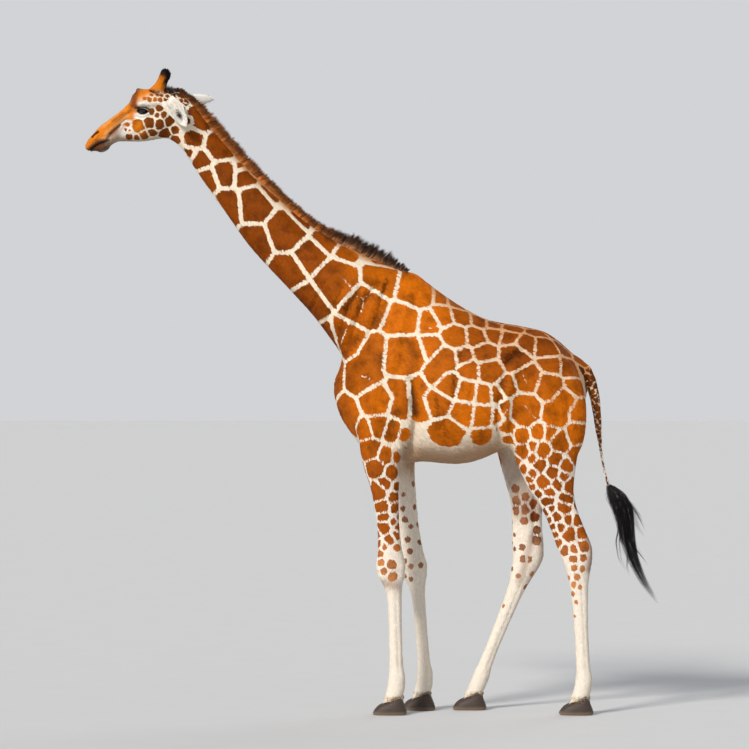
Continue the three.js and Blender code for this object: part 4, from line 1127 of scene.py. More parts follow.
def unwrap_skin(mesh, points):
    """The skin's own unwrap, corner by corner, so that no face is torn across a seam."""
    vertex = read(mesh.loops, "vertex_index")
    sizes = read(mesh.polygons, "loop_total")
    centres = read(mesh.polygons, "center", 3, np.float32).astype(float)
    face_of = np.repeat(np.arange(len(sizes)), sizes)
    limbs = limbs_of(centres)
    result = np.zeros((len(vertex), 2))
    for i, name in enumerate(LIMB_NAMES):
        chosen = limbs[face_of] == i
        if not chosen.any():
            continue
        _, run, heading, offset = follow(points[vertex[chosen]], LIMBS[name])
        angle = limb_angle(offset, heading)
        _, _, face_heading, face_offset = follow(centres[face_of[chosen]], LIMBS[name])
        middle = limb_angle(face_offset, face_heading)
        angle = middle + (angle - middle + math.pi) % (2 * math.pi) - math.pi
        result[chosen] = chart_place(name, run, angle)
    write_uv(mesh, result)


# ---------------------------------------------------------------- the coat
LIMB_HOLD = 4  # how firmly hair keeps to the nearest limb where two meet
HAIR_HANGS = 0.35  # how much it turns to the ground


def lie_of_coat(points, normals, edges):
    """The way the hair lies at each point of the skin, laid flat on it."""
    total = np.zeros_like(points)
    for name, line in LIMBS.items():
        near, _, heading, _ = follow(points, line)
        way = -heading if name == "head" else heading
        total += way * np.exp(-LIMB_HOLD * near)[:, None]
    total = unit(total)
    total[:, 2] -= HAIR_HANGS
    return laid_flat(relax(unit(total), edges, 40, 0.7), normals)


def laid_flat(ways, normals):
    """Ways with the part of them that leaves the skin taken out."""
    return unit(ways - (ways * normals).sum(axis=1)[:, None] * normals)


def sample_skin(skin, spacing, chosen_faces):
    """Even random roots on the chosen faces: spacing is one length per vertex of the skin."""
    a, b, c = skin["triangles"][chosen_faces].T
    points = skin["points"]
    area = 0.5 * np.linalg.norm(np.cross(points[b] - points[a], points[c] - points[a]), axis=1)
    wanted = area / (spacing[a] ** 2)
    count = np.floor(wanted + rng.random(len(wanted))).astype(int)
    face = np.repeat(np.arange(len(a)), count)
    r, s = rng.random((2, len(face)))
    flip = r + s > 1
    r[flip], s[flip] = 1 - r[flip], 1 - s[flip]
    shares = np.stack([1 - r - s, r, s], axis=1)
    corners = np.stack([a[face], b[face], c[face]], axis=1)
    return corners, shares


def at_roots(values, corners, shares):
    """A per-vertex value of the skin, read at roots."""
    if values.ndim == 1:
        return (values[corners] * shares).sum(axis=1)
    return (values[corners] * shares[:, :, None]).sum(axis=1)


def on_skin(tree, points, lift):
    """Points moved to a height above the skin, and the faces of the skin under them."""
    laid = np.empty_like(points)
    faces = np.empty(len(points), int)
    for i, point in enumerate(points):
        place, normal, faces[i], _ = tree.find_nearest(point)
        laid[i] = place + normal * lift[i]
    return laid, faces


OWN_MARKS = 0.72  # how far a tuft takes on the marks of the skin that it lies over
TUFT_STRAYS = 0.11  # radians
TUFT_LENGTHS = (0.75, 1.25)  # shares of the length, width and lift that are asked for
TUFT_HALVES = (0.35, 0.6)
TUFT_LIFTS = (0.4, 1.3)
TUFT_THICK = 0.22  # of half its width
TUFT_ROOT = 0.002  # how deep it is rooted
TUFT_TURNS_LIGHT = 0.12  # how unevenly the light falls on it
# A tuft's corners: three at the root, three at its middle and the tip.
TUFT_QUADS = ([0, 3, 5, 2], [2, 5, 4, 1], [1, 4, 3, 0])
TUFT_THIRDS = ([3, 6, 5], [5, 6, 4], [4, 6, 3], [0, 2, 1])
TUFT_CORNERS = 7
TUFT_SPREAD = np.array([[-1, -1], [1, -1], [0, -1], [-1, 0], [1, 0], [0, 0.3], [0, 1]])


def grow_tufts(name, skin, corners, shares, length, width, lift):
    """A mesh of small closed tufts that lie along the skin."""
    root = at_roots(skin["points"], corners, shares)
    normal = unit(at_roots(skin["normals"], corners, shares))
    turn = rng.normal(0, TUFT_STRAYS, len(root))[:, None]
    way = unit(at_roots(skin["lie"], corners, shares))
    way = unit(way + unit(np.cross(normal, way)) * turn)
    across = unit(np.cross(normal, way))
    length = (length * rng.uniform(*TUFT_LENGTHS, len(root)))[:, None]
    half = (width * rng.uniform(*TUFT_HALVES, len(root)))[:, None]
    lift = lift * rng.uniform(*TUFT_LIFTS, len(root))
    middle, middle_face = on_skin(skin["tree"], root + way * length * 0.5, 0.35 * lift)
    tip, tip_face = on_skin(skin["tree"], root + way * length, lift)
    thick = TUFT_THICK * half
    ring = np.stack([
        root - across * half * 0.7 - normal * TUFT_ROOT,
        root + across * half * 0.7 - normal * TUFT_ROOT,
        root + normal * thick,
        middle - across * half,
        middle + across * half,
        middle + normal * thick * 1.6,
        tip,
    ], axis=1)
    base = (np.arange(len(root)) * TUFT_CORNERS)[:, None]
    faces = [np.concatenate([base + face for face in kind]) for kind in (TUFT_QUADS, TUFT_THIRDS)]
    mesh = new_mesh(name, ring.reshape(-1, 3), faces)
    each = np.repeat(np.arange(len(root)), TUFT_CORNERS)
    marks = {mark: at_roots(skin[mark], corners, shares)[each] for mark in MARK_KINDS}
    edge = marks["edge"].reshape(-1, TUFT_CORNERS)
    own = edge[:, 0].copy()
    edge[:, 3:6] += OWN_MARKS * (skin["face_edge"][middle_face] - own)[:, None]
    edge[:, 6] += OWN_MARKS * (skin["face_edge"][tip_face] - own)
    marks["edge"] = edge.ravel()
    write_marks(mesh, marks)
    spread = TUFT_SPREAD * TUFT_PATCH / 2
    write_vertex_uv(mesh, (skin["unwrap"](root)[:, None] + spread).reshape(-1, 2))
    soft = unit(normal + TUFT_TURNS_LIGHT * rng.normal(0, 1, normal.shape) - TUFT_TURNS_LIGHT * way)
    mesh.normals_split_custom_set_from_vertices(soft[each])
    return mesh


def grow_locks(name, spines, widths, across, tints):
    """A mesh of closed tapered locks. spines is [lock, step, xyz], widths and tints go with its steps."""
    count, steps, _ = spines.shape
    heading = np.gradient(spines, axis=1)
    side = unit(np.cross(heading, np.cross(across[:, None], heading)))
    up = unit(np.cross(side, heading))
    half = widths[:, :, None]
    rings = np.stack([spines - side * half, spines + side * half, spines + up * half * 0.45], axis=2)
    points = rings.reshape(-1, 3)
    base = (np.arange(count) * steps * 3)[:, None]
    quads = []
    for step in range(steps - 1):
        for a, b in ((0, 1), (1, 2), (2, 0)):
            quads.append(base + [step * 3 + a, step * 3 + b, step * 3 + 3 + b, step * 3 + 3 + a])
    last = (steps - 1) * 3
    caps = np.concatenate([base + [2, 1, 0], base + [last, last + 1, last + 2]])
    mesh = new_mesh(name, points, [np.concatenate(quads), caps])
    write_attribute(mesh, "tint", "FLOAT_COLOR", np.repeat(tints.reshape(-1, 4), 3, axis=0))
    share = np.linspace(-0.5, 0.5, steps)[None, :, None] * TUFT_PATCH
    shift = np.array([-0.5, 0.5, 0.0])[None, None, :] * TUFT_PATCH
    place = unwrap(spines[:, 0])
    u = place[:, 0][:, None, None] + shift + 0 * share
    v = place[:, 1][:, None, None] + share + 0 * shift
    write_vertex_uv(mesh, np.stack([u, v], axis=3).reshape(-1, 2))
    return mesh


def fade_tints(first, last, steps, count, turn=0.5, sharp=6.0):
    """Colours along locks from one to another, changing about a share of their length."""
    share = 1 / (1 + np.exp(-sharp * (np.linspace(0, 1, steps) - turn)))
    colours = linear(first) + share[:, None] * (linear(last) - linear(first))
    tone = rng.uniform(0.7, 1.2, (count, 1, 1))
    result = np.tile(colours, (count, 1, 1)) * tone
    result[:, :, 3] = 1
    return result


def dress(mesh, name, material, replaces=()):
    """Finishes a piece: object, material, body, slot and the solids that it stands for."""
    piece = link(mesh, name)
    mesh.materials.clear()
    mesh.materials.append(material)
    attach(piece, "root")
    if replaces:
        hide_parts(*replaces)


def hair_locks(name, roots, way, length, widths, across, tints, sag=(0, 0, 0)):
    """Dresses short locks of four steps that run from their roots and sag a little, all to one width."""
    steps = np.linspace(0, 1, 4)[None, :, None]
    spines = roots[:, None] + way[:, None] * length[:, None, None] * steps - np.array(sag) * steps**2
    mesh = grow_locks(name, spines, np.tile(widths, (len(roots), 1)), np.tile(across, (len(roots), 1)), tints)
    dress(mesh, name, hair)


def spray(ways, spread):
    """Ways that each stray a little at random."""
    return unit(ways + rng.normal(0, spread, ways.shape))


# ---------------------------------------------------------------- surfaces that carry the coat
def surface_of(mesh, lie, marks, rolled_out=unwrap):
    """Writes the coat's marks on a mesh, and gathers what tufts need to grow from it."""
    mesh.calc_loop_triangles()
    triangles = read(mesh.loop_triangles, "vertices", 3)
    write_marks(mesh, marks)
    return {"points": points_of(mesh), "normals": normals_of(mesh), "tree": surface_tree(mesh), "lie": lie,
            "triangles": triangles, "unwrap": rolled_out, "face_edge": face_means(mesh, marks["edge"]),
            **marks}


def face_means(mesh, values):
    """The mean of a per-vertex value over each face."""
    corners = values[read(mesh.loops, "vertex_index")]
    return np.add.reduceat(corners, read(mesh.polygons, "loop_start")) / read(mesh.polygons, "loop_total")


def build_body():
    """The skin with its marks, as a surface, the limb of each of its vertices, and the patch cells."""
    mesh = build_skin()
    points = points_of(mesh)
    normals = normals_of(mesh)
    cells = patch_cells_on(surface_tree(mesh))
    edge, ground, patch = paint(points, normals, cells)
    limbs = limbs_of(points)
    grain = np.zeros_like(points)
    run = np.zeros(len(points))
    for index, name in enumerate(LIMB_NAMES):
        mine = limbs == index
        _, run[mine], _, grain[mine] = follow(points[mine], LIMBS[name])
    lie = lie_of_coat(points, normals, edges_of(mesh))
    marks = {"edge": edge, "ground": ground, "patch": patch, "grain": grain, "run": run}
    body = surface_of(mesh, lie, marks)
    unwrap_skin(mesh, points)
    mesh.shade_smooth()
    dress(mesh, "skin", coat, FLESH)
    return body, limbs, cells


# ---------------------------------------------------------------- the coat's tufts
TUFTS_A_PIECE = 19500
# Spacing, length, width and lift of tufts, in metres.
BODY_TUFT = (0.0122, 0.032, 0.0082, 0.0020)
LEG_TUFT = (0.0088, 0.019, 0.0055, 0.0015)
FACE_TUFT = (0.0056, 0.011, 0.0032, 0.0012)
MUZZLE_TUFT = (0.0048, 0.007, 0.0022, 0.0008)
FOOT_SHARE = 0.8  # the feet and the tail have leg tufts of this size
# How near to the nostrils and the mouth no tuft grows, how far round the eyes, and how high above the
# floor tufts start.
BARE_NOSTRIL = 0.009
BARE_MOUTH = 0.005
BARE_EYE = (EYE_SLIT[0] + 0.006, 0.02)
BARE_HOOF = 0.078


def tuft_sizes(points):
    """Spacing, length, width and lift at each point: smallest on the muzzle and the feet."""
    body, leg, face, muzzle = (np.array(size) for size in (BODY_TUFT, LEG_TUFT, FACE_TUFT, MUZZLE_TUFT))
    x, _, height = points.T
    sizes = np.tile(body, (len(points), 1))
    for share, wanted in (
        (1 - smooth(0.9, 1.6, height), leg),
        (1 - smooth(0.1, 0.4, height), FOOT_SHARE * leg),
        (smooth(1.3, 1.36, x), FOOT_SHARE * leg),
        (smooth(-1.12, -1.26, x) * (height > 3.3), face),
        (smooth(-1.5, -1.66, x), muzzle),
    ):
        sizes = sizes + share[:, None] * (wanted - sizes)
    return sizes


def bare(points):
    """Where no tuft grows: in the eyes, nostrils and mouth, and under the hooves."""
    x, y, height = points.T
    eye = np.hypot(x - EYE.x, height - EYE.z) < BARE_EYE[0]
    eye &= (np.abs(height - EYE.z) < BARE_EYE[1]) & (np.abs(y) > 0.06)
    nostril = distance_to_line(points[:, [0, 2]], from_pixels(NOSTRIL[2])) < BARE_NOSTRIL
    mouth = distance_to_line(points[:, [0, 2]], from_pixels(MOUTH[2])) < BARE_MOUTH
    return eye | nostril | mouth | (height < BARE_HOOF)


def grow_coat(body, limbs):
    """The tufts of each limb, in pieces from its root to its end."""
    sizes = tuft_sizes(body["points"])
    middles = body["points"][body["triangles"]].mean(axis=1)
    allowed = ~bare(middles)
    face_limbs = limbs[body["triangles"][:, 0]]
    for index, name in enumerate(LIMB_NAMES):
        faces = np.flatnonzero(allowed & (face_limbs == index))
        corners, shares = sample_skin(body, sizes[:, 0], faces)
        order = np.argsort(at_roots(body["run"], corners, shares))
        pieces = math.ceil(len(order) / TUFTS_A_PIECE)
        for number, part in enumerate(np.array_split(order, pieces)):
            root_sizes = at_roots(sizes, corners[part], shares[part])
            mesh = grow_tufts(f"coat_{name}_{number + 1}", body, corners[part], shares[part],
                              root_sizes[:, 1], root_sizes[:, 2], root_sizes[:, 3])
            dress(mesh, mesh.name, coat)


# ---------------------------------------------------------------- ears and ossicones
EARS = {
    "ear_left": ((-1.252, -0.076, 3.796), (0.457, -0.5, -0.735), (-0.25, -0.9, 0.35)),
    "ear_right": ((-1.222, 0.072, 3.798), (0.96, 0.24, 0.07), (-0.1, 0.75, -0.45)),
}
EAR_LENGTH = 0.245
EAR_BURR = (0.018, 0.021)  # the radius of the flesh at its root, and half the length of it
EAR_ROOT_SQUASH = 0.8
EAR_ROOT_WIDTH = 0.62  # the share of its solid's width that it has at the root
EAR_HALF = 0.04
EAR_CUP = 0.015  # how deep it is hollowed
EAR_INNER = (214, 192, 172)
NO_PATCH = -0.03  # an edge that lies well outside every patch
EAR_LOCKS = 620
OSSICONE_TIP = (-1.277, 0.056, 3.966)
CROWN_BLACK = (40, 33, 33)
CROWN_FROM = 0.76  # the share of an ossicone's length where its long hair starts
CROWN_LOCKS = 640
POLL_LOCKS = 900
WHISKERS = 170
FINE_VOXEL = 0.0034


def burr(centre, radii, heading):
    """A maker of a ball of flesh, drawn out along a heading, that roots an ear or horn in the skin."""
    def make(bm):
        made = bmesh.ops.create_icosphere(bm, subdivisions=3, radius=1.0)["verts"]
        turn = Vector(heading).to_track_quat("Z", "Y")
        for vert in made:
            vert.co = turn @ Vector((vert.co.x * radii[0], vert.co.y * radii[0], vert.co.z * radii[1]))
            vert.co += Vector(centre)
    return make


def small_surface(mesh, name, heading, foot, ground, patch, edge):
    """Dresses a small part that carries the coat, with its hair lying from foot to tip."""
    points = points_of(mesh)
    lie = laid_flat(np.tile(heading, (len(points), 1)), normals_of(mesh))
    along = (points - foot) @ heading
    grain = points - foot - along[:, None] * heading

    def rolled_out(places):
        return ring_unwrap(name, places - foot, heading)

    marks = {"edge": edge, "ground": ground, "patch": patch, "grain": grain, "run": along}
    surface = surface_of(mesh, lie, marks, rolled_out)
    write_vertex_uv(mesh, rolled_out(points))
    mesh.shade_smooth()
    dress(mesh, f"{name}_skin", coat, [name])
    return surface


def small_tufts(name, surface, length, width, lift):
    """Dresses even tufts all over a small part."""
    spacing = np.full(len(surface["points"]), SMALL_SPACING)
    corners, shares = sample_skin(surface, spacing, np.arange(len(surface["triangles"])))
    sizes = [np.full(len(corners), size) for size in (length, width, lift)]
    mesh = grow_tufts(f"{name}_tufts", surface, corners, shares, *sizes)
    dress(mesh, mesh.name, coat)


# The small parts and the slots of their coats.
SMALL_PARTS = {"ear_left": "ear_hair", "ear_right": "ear_hair", "ossicone_left": "ossicone_hair",
               "ossicone_right": "ossicone_hair"}
SMALL_SPACING = 0.0042  # between their tufts, in metres


def ring_unwrap(name, offset, heading):
    """A small part's own rolled-out rectangle, in a corner of the sheet that the body leaves free."""
    side = unit(np.cross(heading, [0.0, 0.3, 1.0])[None])[0]
    along = offset @ heading
    turn = np.arctan2(offset @ np.cross(heading, side), offset @ side) / (2 * math.pi) + 0.5
    column = 0.64 + 0.09 * list(SMALL_PARTS).index(name) + 0.08 * turn
    return np.stack([column, 0.02 + 0.18 * np.clip(along / 0.26 + 0.2, 0, 1)], axis=1)


def build_ear(name):
    """A cupped ear on a burr of flesh: its surface, where it starts, its way and the way it opens."""
    base, tip, opening = (np.array(v, float) for v in EARS[name])
    tip = unit(tip[None])[0]
    opening = unit((opening - (opening @ tip) * tip)[None])[0]
    across = np.cross(tip, opening)
    root = base - tip * 0.004 - np.array([0, 0.016 * np.sign(base[1]), 0])
    mesh = remeshed([name], FINE_VOXEL, 0.0008, [burr(root, EAR_BURR, tip)])
    points = relax(points_of(mesh), edges_of(mesh), 6, 0.5)
    share = np.clip((points - base) @ tip / EAR_LENGTH, 0, 1)
    wide = (points - base) @ across
    points -= tip * (EAR_ROOT_SQUASH * np.minimum((points - base) @ tip, 0))[:, None]
    narrow = EAR_ROOT_WIDTH + (1 - EAR_ROOT_WIDTH) * smooth(0.0, 0.42, share)
    points += across * (wide * (narrow - 1))[:, None]
    middle = 1 - np.clip(np.abs(wide) / EAR_HALF, 0, 1) ** 2
    cup = EAR_CUP * middle * smooth(0.05, 0.35, share) * smooth(1.0, 0.7, share)
    points -= opening * cup[:, None]
    set_points(mesh, points)
    inner = smooth(0.1, 0.5, normals_of(mesh) @ opening)
    ground = np.tile(linear(WHITE), (len(points), 1))
    ground = blend_colours(ground, EAR_INNER, 0.3 * inner * smooth(0.6, 0.2, share))
    mark = np.hypot((share - 0.54) / 0.14, (wide - 0.002) / 0.016)
    ground = blend_colours(ground, BLACK, 0.95 * (inner > 0.3) * np.exp(-(mark**4)))
    patch = np.tile(linear(DARK), (len(points), 1))
    edge = np.full(len(points), NO_PATCH)
    return small_surface(mesh, name, tip, base, ground, patch, edge), base, tip, opening


def ear_hair(name, surface, base, tip, opening):
    """Tufts all over an ear, and long soft hair in its hollow, dark in one place."""
    small_tufts(name, surface, 0.013, 0.0034, 0.0014)
    points = surface["points"]
    inside = np.flatnonzero((surface["normals"] @ opening > 0.35) & ((points - base) @ tip > 0.02))
    roots = points[rng.choice(inside, EAR_LOCKS)]
    out = unit(points.mean(axis=0) - roots)
    way = spray(tip * 0.7 + opening * 0.55 + out * 0.35, 0.16)
    length = rng.uniform(0.014, 0.030, len(roots))
    tints = fade_tints((255, 253, 248), (240, 232, 220), 4, len(roots))
    away = roots - base
    marked = np.hypot((away @ tip / EAR_LENGTH - 0.48) / 0.15, (away @ np.cross(tip, opening)) / 0.018) < 1
    tints[marked] = fade_tints(DARK, BLACK, 4, int(marked.sum()))
    hair_locks(f"{name}_hair", roots, way, length, [0.0012, 0.001, 0.0007, 0.0001], opening,
               tints, opening * 0.006)


def build_ossicone(side, cells):
    """A horn covered in skin, black at its crown and back, on a burr that takes the marks of the head."""
    name = "ossicone_left" if side < 0 else "ossicone_right"
    foot = np.array(OSSICONE_FOOT) * [1, side, 1]
    top = np.array(OSSICONE_TIP) * [1, side, 1]
    heading = unit((top - foot)[None])[0]
    stem = foot + heading * 0.034 - [0.010, 0, 0]
    burrs = [burr(foot - heading * 0.020, (0.036, 0.034), heading), burr(stem, (0.024, 0.050), heading)]
    mesh = remeshed([name], FINE_VOXEL, GAP_CLOSER, burrs)
    set_points(mesh, relax(points_of(mesh), edges_of(mesh), 8, 0.5))
    points = points_of(mesh)
    share = (points - foot) @ heading / np.linalg.norm(top - foot)
    rear = smooth(0.25, 0.75, normals_of(mesh)[:, 0])
    ground = np.tile(linear(ORANGE), (len(points), 1))
    ground = blend_colours(ground, HORN_BROWN, 0.5 * smooth(0.3, 0.8, share))
    ground = blend_colours(ground, BLACK, rear * smooth(0.30, 0.55, share))
    ground = blend_colours(ground, CROWN_BLACK, smooth(0.68, 0.84, share))
    edge, skin_ground, patch = paint(points, normals_of(mesh), cells)
    grown = smooth(0.02, 0.22, share)
    ground = skin_ground + grown[:, None] * (ground - skin_ground)
    surface = small_surface(mesh, name, heading, foot, ground, patch, edge + 2 * NO_PATCH * grown)
    small_tufts(name, surface, 0.014, 0.0032, 0.0016)
    crown_hair(name, surface, share, heading, top)


def crown_hair(name, surface, share, heading, top):
    """The ring of long black hair round the crown of an ossicone."""
    roots = surface["points"][rng.choice(np.flatnonzero(share > CROWN_FROM), CROWN_LOCKS)]
    out = unit(roots - top + heading * 0.02)
    way = spray(heading + out * 0.25 + [0.20, 0, 0], 0.12)
    length = rng.uniform(0.004, 0.013, len(roots))
    hair_locks(f"{name}_crown", roots, way, length, [0.0013, 0.0011, 0.0008, 0.0001],
               heading + [0, 0.3, 0], fade_tints(BLACK, DARK, 4, len(roots)))


def grow_poll(body):
    """The black hair on top of the head, between the ossicones and the mane."""
    points = body["points"]
    place = (points[:, 0] > -1.315) & (points[:, 0] < -1.205) & (np.abs(points[:, 1]) < 0.062)
    chosen = rng.choice(np.flatnonzero(place & (body["normals"][:, 2] > 0.45)), POLL_LOCKS)
    roots = points[chosen]
    way = spray(body["normals"][chosen] + [0.9, 0, 0], 0.25)
    length = rng.uniform(0.010, 0.024, len(roots)) * (1 + 0.9 * smooth(-1.23, -1.30, roots[:, 0]))
    hair_locks("poll_hair", roots, way, length, [0.0012, 0.0010, 0.0007, 0.0001], [0, 1.0, 0.2],
               fade_tints(BLACK, (96, 88, 86), 4, len(roots)))


# ---------------------------------------------------------------- eyes, lashes and whiskers
EYE_AHEAD = 0.12  # how far the eyes look forward of straight out
EYE_PLAY = 0.0008  # how much smaller the ball is than the lids' hollow
PUPIL = (0.42, 0.2)  # half its length and height, in radii of the ball
EYE_BROWN = (26, 16, 12)
IRIS_RING = (46, 27, 17)
PUPIL_BLACK = (6, 5, 6)
EYE_RIM = (20, 12, 10)


def build_eye(side):
    """A wet dark ball with a swollen cornea, an iris and a level pupil."""
    bm = bmesh.new()
    bmesh.ops.create_uvsphere(bm, u_segments=64, v_segments=48, radius=1.0)
    name = "eye_left" if side < 0 else "eye_right"
    mesh = bpy.data.meshes.new(name + "_ball")
    bm.to_mesh(mesh)
    bm.free()
    points = points_of(mesh)
    turn = np.array(Vector((-EYE_AHEAD, side, 0.0)).to_track_quat("Z", "Y").to_matrix())
    away = np.arccos(np.clip(points[:, 2], -1, 1))
    radius = (EYE_RADIUS - EYE_PLAY) * (1 + 0.05 * bell(away / 0.55))
    placed = (points * radius[:, None]) @ turn.T
    level = np.abs(placed[:, 2]) / EYE_RADIUS
    ahead = np.abs(placed[:, 0] + EYE_AHEAD * EYE_RADIUS) / EYE_RADIUS
    pupil = 1 - smooth(0.9, 1.05, np.hypot(level / PUPIL[1], ahead / PUPIL[0]))
    colours = np.tile(linear(EYE_BROWN), (len(points), 1))
    colours = blend_colours(colours, IRIS_RING, bell((away - 0.42) / 0.18))
    colours = blend_colours(colours, PUPIL_BLACK, pupil)
    colours = blend_colours(colours, EYE_RIM, smooth(0.7, 0.85, away))
    set_points(mesh, placed + [EYE.x, side * EYE.y, EYE.z])
    write_attribute(mesh, "tint", "FLOAT_COLOR", colours)
    mesh.shade_smooth()
    dress(mesh, name + "_ball", wet, [name])


# The lashes of the upper lid, then the lower: side of the slit, count, longest, fall and bend.
LASH_ROWS = ((1, 70, 0.021, -0.25, -0.25), (-1, 40, 0.009, -0.35, -0.1))
LASH_SPAN = 0.92  # the share of the slit's half length that they keep to


def grow_lashes(side):
    """Long lashes on the upper lid and short ones on the lower."""
    spines = []
    steps = np.linspace(0, 1, 5)[:, None]
    for rising, count, longest, fall, bends in LASH_ROWS:
        half_height = EYE_SLIT[1 if rising > 0 else 2]
        for share in np.linspace(-LASH_SPAN, LASH_SPAN, count):
            u = EYE_SLIT[0] * share + rng.normal(0, 0.0006)
            v = rising * half_height * (1 - abs(share) ** SLIT_POWER) ** (1 / SLIT_POWER)
            depth = max(ball_depth(math.hypot(u, v), EYE_RADIUS + LID), 0.001)
            ahead = u * math.cos(EYE_TILT) + v * math.sin(EYE_TILT)
            above = v * math.cos(EYE_TILT) - u * math.sin(EYE_TILT)
            root = np.array([EYE.x + ahead, side * (EYE.y + depth - 0.001), EYE.z + above])
            length = longest * (1 - 0.5 * share * share) * rng.uniform(0.75, 1.1)
            way = unit(np.array([[0.3 * share - 0.15, side, fall]]))
            spines.append(root + way * length * steps + np.array([0, 0, bends]) * length * steps**2)
    count = len(spines)
    widths = np.tile([0.0007, 0.0006, 0.0005, 0.0003, 0.0001], (count, 1))
    name = "lashes_left" if side < 0 else "lashes_right"
    tints = fade_tints(BLACK, BLACK, 5, count)
    mesh = grow_locks(name, np.array(spines), widths, np.tile([1.0, 0, 0.2], (count, 1)), tints)
    dress(mesh, name, hair)


def grow_whiskers(body):
    """Sparse bristles on the lips and chin."""
    points = body["points"]
    lips = np.flatnonzero((points[:, 0] < -1.63) & (points[:, 2] < 3.545) & ~bare(points))
    chosen = rng.choice(lips, WHISKERS)
    way = spray(body["normals"][chosen] + [-0.2, 0, -0.55], 0.15)
    length = rng.uniform(0.006, 0.014, len(chosen))
    hair_locks("whiskers", points[chosen], way, length, [0.0004, 0.0003, 0.0002, 0.0001],
               [0, 1.0, 0.3], fade_tints((60, 44, 34), (130, 110, 90), 4, len(chosen)), (0, 0, 0.004))


# ---------------------------------------------------------------- mane and tail
# The crest of the neck and how high the mane stands on it: x, z and height.
CREST = [
    (-1.222, 3.846, 0.014), (-1.190, 3.846, 0.030), (-1.150, 3.824, 0.042), (-1.075, 3.742, 0.062),
    (-0.975, 3.612, 0.076), (-0.870, 3.492, 0.072), (-0.745, 3.362, 0.064), (-0.605, 3.228, 0.058),
    (-0.452, 3.082, 0.058), (-0.296, 2.968, 0.066), (-0.130, 2.880, 0.094), (0.050, 2.798, 0.086),
    (0.215, 2.732, 0.036),
]
MANE_LOCKS = 15000
MANE_HALF = 0.032  # half its width at the roots
MANE_TURN = -0.26  # x where it turns from red-brown to black
MANE_CLUMP = 0.0185  # locks lean together in clumps of this length
MANE_STAGGER = 0.12  # how far the clumps of one row lie from the next, in clumps
MANE_ROOT = 0.003  # how deep its locks are rooted
MANE_LEAN = 0.28  # how far locks lean back for one metre up
MANE_ROUND = 0.45  # the share of its height that it loses at its sides
MANE_UNEVEN = 0.10  # how unevenly high its clumps are on the neck, and how much more at the withers
MANE_MORE_UNEVEN = 0.12
MANE_RED = (204, 118, 48)
MANE_RED_TIP = (62, 32, 18)
MANE_DARK = (176, 118, 74)
MANE_DARK_TIP = (26, 18, 16)


def crest_at(run):
    """The middle of the crest at a run along it, as x, z and height, and its ways out and back."""
    crest = np.array(CREST)
    starts = crest_starts()
    place = [np.interp(run, starts, crest[:, k]) for k in range(3)]
    ahead = np.zeros((len(run), 2))
    for k in range(2):
        ahead[:, k] = np.interp(run + 0.03, starts, crest[:, k]) - np.interp(run - 0.03, starts, crest[:, k])
    ahead = unit(ahead)
    level = np.zeros(len(run))
    out = np.stack([-ahead[:, 1], level, ahead[:, 0]], axis=1)
    back = np.stack([ahead[:, 0], level, ahead[:, 1]], axis=1)
    return place, out, back


def crest_starts():
    """How far along the crest each of its points lies."""
    steps = np.linalg.norm(np.diff(np.array(CREST)[:, :2], axis=0), axis=1)
    return np.concatenate([[0], np.cumsum(steps)])


def grow_mane(body):
    """A stiff, upright brush of hair along the crest, leaning back a little, in clumps that stand in four
    rows. It is red-brown on the neck, and spikier and black towards the withers."""
    run = np.sort(rng.random(MANE_LOCKS)) * crest_starts()[-1]
    (x, z, height), out, back = crest_at(run)
    side = rng.uniform(-1, 1, len(run)) * MANE_HALF
    roots = np.stack([x, side, z], axis=1) - out * 0.004
    roots, _ = on_skin(body["tree"], roots, np.full(len(roots), -MANE_ROOT))
    row = (side > 0).astype(int) + 2 * (np.abs(side) > 0.5 * MANE_HALF)
    clump = np.floor(run / MANE_CLUMP + MANE_STAGGER * row).astype(int)
    to_middle = (clump + 0.5 - MANE_STAGGER * row) * MANE_CLUMP - run
    key = clump * 4 + row
    keys = (clump.max() + 1) * 4
    spiky = smooth(-0.15, 0.15, x - MANE_TURN)
    uneven = rng.uniform(-1, 1, keys)[key] * (MANE_UNEVEN + MANE_MORE_UNEVEN * spiky)
    tall = height * (1.0 + uneven) * rng.uniform(0.72, 1.05, len(run))
    tall *= 1 - MANE_ROUND * (np.abs(side) / MANE_HALF) ** 2
    lean = rng.normal(0, 0.10, keys)[key] * (0.3 + 0.7 * spiky)
    lean = MANE_LEAN + lean + rng.normal(0, 0.08, len(run))
    way = unit(out + back * lean[:, None] + np.array([0, 1.0, 0]) * (-5.0 * side)[:, None])
    steps = np.linspace(0, 1, 4)[None, :, None]
    spines = roots[:, None] + way[:, None] * (tall + MANE_ROOT)[:, None, None] * steps
    spines += back[:, None] * ((0.5 + 0.4 * spiky) * to_middle)[:, None, None] * steps**1.5
    widths = np.array([0.0015, 0.0016, 0.0011, 0.0001]) * rng.uniform(0.6, 1.2, (len(run), 1))
    red = fade_tints(MANE_RED, MANE_RED_TIP, 4, len(run), 0.78, 9.0)
    dark = fade_tints(MANE_DARK, MANE_DARK_TIP, 4, len(run), 0.5, 9.0)
    blend = smooth(-0.12, 0.12, x - MANE_TURN + rng.normal(0, 0.06, keys)[key])[:, None, None]
    tone = 1 + rng.uniform(-0.5, 0.5, keys)[key]
    tone *= 1 - 0.65 * smooth(-1.06, -1.16, x)
    tints = (red + blend * (dark - red)) * (tone * rng.uniform(0.7, 1.3, len(run)))[:, None, None]
    tints[:, :, 3] = 1
    for number, part in enumerate(np.array_split(np.arange(len(run)), 2)):
        name, solid = (("mane_hair_upper", "mane_upper"), ("mane_hair_lower", "mane_lower"))[number]
        mesh = grow_locks(name, spines[part], widths[part], back[part], tints[part])
        dress(mesh, name, hair, [solid])


